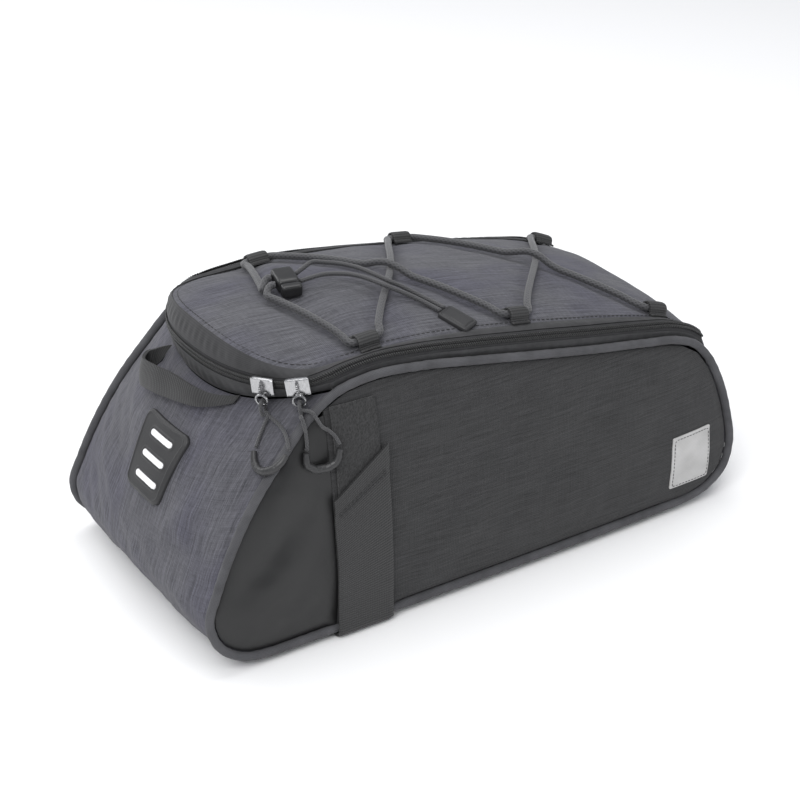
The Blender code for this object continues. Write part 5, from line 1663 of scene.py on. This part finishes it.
def build_patch(paint):
    """The rubber patch with its raised rim, its three reflective bars and the bare side label."""
    middle = rear_place(BASE_DROP + PATCH_Z * SIDE_HEIGHT)
    border = rounded_rectangle(PATCH_BOTTOM, PATCH_HEIGHT, PATCH_CORNER, top_width=PATCH_TOP, per_corner=14)
    border = fine_border(border, 200)

    def place(flat, off=GAP):
        return rear_surface(flat[:, 0] + PATCH_Y * WIDTH, middle - flat[:, 1], off)

    def rim(flat, edge):
        round_edge = -0.0007 * np.exp(-edge / 0.0006)
        bead = 0.00045 * np.exp(-(((edge - 0.0022) / 0.0006) ** 2))
        frame = 0 * edge
        for i in range(3):
            spot = flat - [BAR_Y, (1 - i) * BAR_PITCH]
            gap = np.maximum(np.abs(spot[..., 0]) - (BAR_LENGTH / 2 - BAR_WIDTH / 2), 0)
            far = np.sqrt(gap**2 + spot[..., 1] ** 2) - BAR_WIDTH / 2
            frame = frame + 0.00035 * np.exp(-(((far - 0.0011) / 0.0006) ** 2))
        return PATCH_THICKNESS + round_edge + bead + np.clip(frame, 0, 0.0004) - 0.0002

    finish = paint["rubber"]
    disc("rubber_patch", border, place, 0.0017, finish, "light_patch", PATCH_RINGS, 1.1, skin=rim)
    bar = fine_border(rounded_rectangle(BAR_LENGTH, BAR_WIDTH, 0.49 * BAR_WIDTH, per_corner=12), 120)
    for i, word in enumerate(("upper", "middle", "lower")):
        shift = np.array([BAR_Y, (1 - i) * BAR_PITCH])

        def on_patch(flat, shift=shift):
            return place(flat + shift, 0.00215)

        def dome(flat, edge):
            return BAR_THICKNESS * (1 - np.exp(-edge / 0.0004)) ** 0.5 + 0.0002

        disc(
            f"reflector_{word}",
            bar,
            on_patch,
            0.0005,
            paint["reflector"],
            f"reflective_bar_{word}",
            14,
            1.2,
            skin=dome,
        )
    border = fine_border(
        rounded_rectangle(LABEL_WIDTH, LABEL_HEIGHT, 0.04 * LABEL_WIDTH, per_corner=8), 200
    )
    border = border + [REAR_X + LABEL_X * LENGTH, BASE_DROP + LABEL_Z * SIDE_HEIGHT]

    def on_side(flat):
        return np.stack([flat[:, 0], -side_y(flat[:, 0], flat[:, 1]) - GAP, flat[:, 1]], 1)

    def soft(flat, edge):
        return LABEL_THICKNESS - 0.0004 * np.exp(-edge / 0.0005) + 0.00012 * soft_noise(flat, 0.012, 101)

    disc("bare_label", border, on_side, 0.0006, paint["label"], "side_label", 24, 1.2, skin=soft)
    inner = fine_border((border - border.mean(0)) * [0.90, 0.91] + border.mean(0), 160)
    line = on_side(inner) - [0, LABEL_THICKNESS, 0]
    stitches(
        "label_stitches",
        [(line, np.tile([0, -1.0, 0], (len(line), 1)))],
        paint["thread"],
        radius=0.00022,
        pitch=0.0024,
    )


def bungee_line(word):
    """The middle line of one half of the elastic lacing."""
    far, stops, cross = {
        "left": (1, (("rear", 1), ("middle", -1), ("front", 1)), ("rear", "middle")),
        "right": (-1, (("rear", -1), ("middle", 1), ("front", -1)), ("middle", "front")),
    }[word]
    mouth = lock_mouth(-1, far)
    start = mouth[:2] - np.array([1.7, 0.9]) * BUNGEE
    route = lacing_route(start, stops, [lacing_cross(*cross)])
    raised = route[0] + [0, 0, 2 * GAP]
    knots = [mouth, mouth - 0.5 * BUNGEE * lock_frame()[1], raised, route[1]]
    lead = smooth_curve(knots, per_span=3)
    return np.vstack([lead[:-1], route[1:]])


def build_cords(paint):
    """The elastic lacing, its tabs, the cord lock and the two drawcord tails with their end."""
    for word in ("left", "right"):
        line = bungee_line(word)
        fine = smooth_curve(line, per_span=4)
        cord_mesh(f"elastic_{word}", fine, BUNGEE / 2, paint["cord"], f"bungee_{word}", 16)
    lines = []
    for which, *_ in ANCHORS:
        for side, word in ((-1, "right"), (1, "left")):
            middle = anchor_place(which, side)
            radius = BUNGEE / 2 + 3 * GAP + ANCHOR_THICKNESS / 2
            foot = GAP + ANCHOR_THICKNESS / 2
            rise = BUNGEE / 2 + GAP
            out = radius + 0.003
            x = middle[0] + ANCHOR_WIDTH * np.linspace(-0.42, 0.42, 25)
            rows = [on_lid(x, middle[1] + out - share * 0.002, foot) for share in (0, 0.5, 1)]
            for turn in np.radians(np.linspace(4, 176, 27)):
                rows.append(on_lid(x, middle[1] + radius * math.cos(turn), rise + radius * math.sin(turn)))
            rows += [on_lid(x, middle[1] - out + share * 0.002, foot) for share in (1, 0.5, 0)]
            grid = np.stack(rows, 0)
            n = unit(np.cross(np.gradient(grid, axis=1), np.gradient(grid, axis=0)))
            n *= np.sign(n[len(rows) // 2, 12, 2])
            t = np.linspace(-1, 1, 25)
            lift = 0.5 * ANCHOR_THICKNESS - 0.0003 * np.clip(np.abs(t) - 0.8, 0, 1) / 0.2
            uv = np.stack(
                np.broadcast_arrays(t[None, :] * 0.42 * ANCHOR_WIDTH, along(grid[:, 12])[:, None]), -1
            )
            cloth(
                f"folded_tab_{which}_{word}",
                grid + lift[:, None] * n,
                0.0009,
                paint["webbing"],
                f"cord_tab_{which}_{word}",
                uv,
                normals=n,
            )
            for row in (1, -2):
                line = grid[row, 3:-3] + 0.5 * ANCHOR_THICKNESS * n[row, 3:-3]
                lines.append((line, n[row, 3:-3]))
    stitches("tab_stitches", lines, paint["thread"], radius=0.00022, pitch=0.0022)
    build_cord_lock(paint)
    build_drawcord(paint)


def build_cord_lock(paint):
    """The lock's moulded body with its ribs, and its plunger."""
    centre, fore, axis, up = lock_frame()
    blobs = [
        rounded_block(
            (0.98 * LOCK_WIDTH, 0.98 * LOCK_LENGTH, 0.94 * LOCK_HEIGHT), centre, (fore, axis, up), 0.0021, 9
        )
    ]
    for i in range(-2, 3):
        spot = centre + axis * i * 0.0024 + up * 0.46 * LOCK_HEIGHT
        blobs.append(rounded_block((0.55 * LOCK_WIDTH, 0.0009, 0.0006), spot, (fore, axis, up), 0.00028, 5))
    many("lock_barrel", blobs, paint["nylon"])
    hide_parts("cord_lock_body")
    away = LOCK_LENGTH / 2 + GAP + PLUNGER_LENGTH / 2
    spot = centre + away * axis
    blobs = [
        rounded_block(
            (0.90 * LOCK_WIDTH, 0.96 * PLUNGER_LENGTH, 0.84 * LOCK_HEIGHT),
            spot,
            (fore, axis, up),
            0.0014,
            9,
        )
    ]
    many("lock_button", blobs, paint["nylon"])
    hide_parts("cord_lock_plunger")


def build_drawcord(paint):
    """The cord lock's two drawcord tails and the moulded end that they run to."""
    run = np.array(CORD_END_RUN)
    side = np.array([-run[1], run[0]])
    edge = np.array([REAR_X + CORD_END_X * LENGTH, CORD_END_Y * WIDTH])
    border = rounded_rectangle(CORD_END_LENGTH, CORD_END_WIDTH, 0.15 * CORD_END_WIDTH, per_corner=8)
    border = fine_border(border, 140) @ np.array([run, side]) + edge
    border = border + run * (CORD_END_LENGTH / 2 + 1.5 * GAP)

    def place(flat):
        return on_lid(flat[:, 0], flat[:, 1], GAP)

    def leaf(flat, edge):
        round_edge = -0.0008 * np.exp(-edge / 0.0006)
        return CORD_END_THICKNESS + round_edge - 0.00035 * np.exp(-(((edge - 0.0018) / 0.0005) ** 2))

    end = disc(
        "cord_leaf", border, place, 0.0019, paint["rubber"], "cord_end", 30, 1.2, skin=leaf
    )
    for word, far, rows in (("a", 1, TAIL_A), ("b", -1, TAIL_B)):
        along_bag, across, lift = np.array(rows).T
        knots = on_lid(REAR_X + along_bag * LENGTH, across * WIDTH, lift)
        spot = edge + far * 0.8 * TAIL * side
        last = [on_lid(*(spot - share * TAIL * run), TAIL / 2 + GAP) for share in (2.0, 0.0)]
        mouth = lock_mouth(1, far)
        lead = mouth + TAIL * lock_frame()[1]
        line = smooth_curve(np.vstack([mouth, lead, knots, last]), per_span=12)
        line = evenly(line, int(along(line)[-1] / (2.4 * TAIL)))
        fine = smooth_curve(line, per_span=5)
        made = cord_mesh(
            f"drawcord_{word}", fine, TAIL / 2, paint["drawcord"], f"drawcord_tail_{word}", 14
        )


def build_sliders(paint):
    """Each slider's plate, neck, side walls, arch and ring, then its pull cord and moulded grip."""

    def on_rear(rows):
        across, high, lift = np.array(rows).T
        s = rear_place(BASE_DROP + high * SIDE_HEIGHT)
        return np.stack([rear_surface(-a * WIDTH / 2, b, c) for a, b, c in zip(across, s, lift)])

    def on_side(rows):
        across, high, lift = np.array(rows).T
        x, z = REAR_X + across * LENGTH, BASE_DROP + high * SIDE_HEIGHT
        return np.stack([x, -side_y(x, z) - lift, z], 1)

    rear_front, rear_back = on_rear(PULL_REAR), on_rear(PULL_REAR_BACK)
    side_front = np.vstack([on_rear(PULL_OVER), on_side(PULL_SIDE)])
    side_back = np.vstack([on_rear(PULL_OVER_BACK), on_side(PULL_SIDE_BACK)])
    for word, share, front, back, grip in (
        ("rear", SLIDER_REAR, rear_front, rear_back, on_rear(GRIP_REAR)),
        ("side", SLIDER_SIDE, side_front, side_back, on_side(GRIP_SIDE)),
    ):
        centre, way, down, out = slider_frame(share)
        lift = GAP + SLIDER_HEIGHT / 2
        axes = (way, down, out)
        eye = centre + 2.25 * lift * out + (0.4 * SLIDER_WIDTH + 0.85 * EYE_RADIUS) * down
        blobs = [
            rounded_block(
                (SLIDER_LENGTH, SLIDER_WIDTH, 0.0014), centre + 1.25 * lift * out, axes, 0.0006, 9
            ),
            rounded_block(
                (0.8 * SLIDER_LENGTH, 0.55 * SLIDER_WIDTH, 0.0018),
                centre + 0.75 * lift * out,
                axes,
                0.0006,
                7,
            ),
            rounded_block(
                (0.92 * SLIDER_LENGTH, 0.0012, 0.0024),
                centre + 0.9 * lift * out + 0.44 * SLIDER_WIDTH * down,
                axes,
                0.0005,
                5,
            ),
            rounded_block(
                (0.92 * SLIDER_LENGTH, 0.0012, 0.0024),
                centre + 0.9 * lift * out - 0.44 * SLIDER_WIDTH * down,
                axes,
                0.0005,
                5,
            ),
        ]
        turn = np.linspace(0, math.pi, 13)
        arch = centre + 1.3 * lift * out
        arch = arch + np.cos(turn)[:, None] * 0.34 * SLIDER_WIDTH * down
        arch = arch + np.sin(turn)[:, None] * 0.95 * lift * out
        for i in range(12):
            blobs.append(capsule(arch[i], arch[i + 1], way, 0.0014, 0.0007, 8))
        turn = np.linspace(0, 2 * math.pi, 29)
        wire = eye + EYE_RADIUS * (np.cos(turn)[:, None] * way + np.sin(turn)[:, None] * down)
        for i in range(28):
            blobs.append(capsule(wire[i], wire[i + 1], out, EYE_WIRE, EYE_WIRE, 8))
        made = many(f"slider_body_{word}", blobs, paint["metal"], 35)
        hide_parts(f"zip_slider_{word}")
        clear = EYE_WIRE + 3 * GAP + PULL_CORD / 2
        low = eye + EYE_RADIUS * down
        turn = np.radians(np.linspace(0, 180, 7))[:, None]
        arc = low + clear * (np.cos(turn) * out - np.sin(turn) * down)
        lead = 0.5 * clear * down
        strands = []
        for rows, end in ((front, arc[0]), (back, arc[-1])):
            strand = smooth_curve(np.vstack([rows[::-1], end + lead, end]), per_span=8)
            strands.append(evenly(strand, int(along(strand)[-1] / (1.6 * PULL_CORD))))
        line = np.vstack([strands[0][:-1], arc, strands[1][-2::-1]])
        fine = smooth_curve(line, per_span=4)
        made = cord_mesh(
            f"pull_loop_{word}", fine, PULL_CORD / 2, paint["drawcord"], f"pull_cord_{word}", 12
        )
        handle = evenly(smooth_curve(grip, per_span=8), 90)
        place = np.linspace(0, 1, 90)
        taper = 0.68 + 0.32 * np.sin(math.pi * place)
        taper = taper * (1 - 0.05 * (np.sin(place * 2 * math.pi * 11) > 0.6) * (np.abs(place - 0.5) < 0.3))
        taper = taper * np.clip(np.minimum(place, 1 - place) / 0.012 + 0.55, 0, 1)
        moulding = cord_mesh(
            f"grip_{word}",
            handle,
            0.98 * GRIP / 2 * taper,
            paint["grip"],
            f"pull_grip_{word}",
            18,
        )


def build_topstitching(paint):
    """The thread along the lid's edge."""
    x_front = REAR_X + LID_FRONT * LENGTH
    seam = band_rails(x_front, 60, 121)[2][:, :2]
    middle = seam.mean(axis=0)
    line = seam + (middle - seam) * 0.0032 / np.linalg.norm(middle - seam, axis=1)[:, None]
    line = evenly(line, 700)
    points = on_lid(line[:, 0], line[:, 1], -0.00035)
    ups = unit(on_lid(line[:, 0], line[:, 1], 0.001) - on_lid(line[:, 0], line[:, 1], 0.0))
    stitches(
        "lid_stitches", [(points, ups)], paint["thread"], radius=0.00026, pitch=0.0031
    )


def main():
    build_stage()
    paint = {
        "heather_rear": heather(
            "heather_rear", (0.026, 0.026, 0.032), (0.105, 0.104, 0.120), (0.74, 0.72, 0.92), 0.55
        ),
        "heather_lid": heather(
            "heather_lid", (0.026, 0.026, 0.032), (0.100, 0.100, 0.112), (0.70, 0.68, 0.90), 0.6
        ),
        "heather_side": heather(
            "heather_side", (0.009, 0.009, 0.0094), (0.031, 0.031, 0.032), (0.85, 0.84, 0.9), 0.2
        ),
        "piping": woven("piping_cloth", (0.026, 0.026, 0.029), (0.072, 0.072, 0.078)),
        "black": woven("black_cloth", (0.012, 0.012, 0.013), (0.036, 0.036, 0.038)),
        "coated": coated("coated_cloth"),
        "tape": woven("zip_tape", (0.008, 0.008, 0.009), (0.022, 0.022, 0.024), 0.0006),
        "coil": moulded("coil", (0.008, 0.008, 0.008), (0.017, 0.017, 0.017), 0.38, 2000),
        "webbing": ribbed("webbing", (0.004, 0.004, 0.0042), (0.024, 0.024, 0.0245)),
        "loop": looped("loop_tape"),
        "rubber": moulded("rubber", (0.014, 0.014, 0.015), (0.024, 0.024, 0.025), 0.55),
        "grip": moulded("grip_rubber", (0.016, 0.016, 0.017), (0.030, 0.030, 0.031), 0.42),
        "nylon": moulded("nylon", (0.008, 0.008, 0.0085), (0.016, 0.016, 0.0165), 0.36, 1500),
        "metal": metal("zip_metal"),
        "reflector": reflective("reflector"),
        "label": woven("label", (0.34, 0.335, 0.33), (0.48, 0.475, 0.47), 0.0009, 0.5),
        "cord": braided("elastic_braid", (0.008, 0.008, 0.009), (0.045, 0.045, 0.050), 0.0021),
        "drawcord": braided("drawcord_braid", (0.008, 0.008, 0.009), (0.042, 0.042, 0.046), 0.0013),
        "thread": woven("thread", (0.012, 0.012, 0.013), (0.035, 0.035, 0.037), 0.0004),
    }
    build_rear(paint)
    build_front(paint)
    build_base(paint)
    build_sides(paint)
    build_piping(paint)
    build_lid(paint)
    build_straps(paint)
    build_handle(paint)
    build_patch(paint)
    build_cords(paint)
    build_sliders(paint)
    build_topstitching(paint)


main()
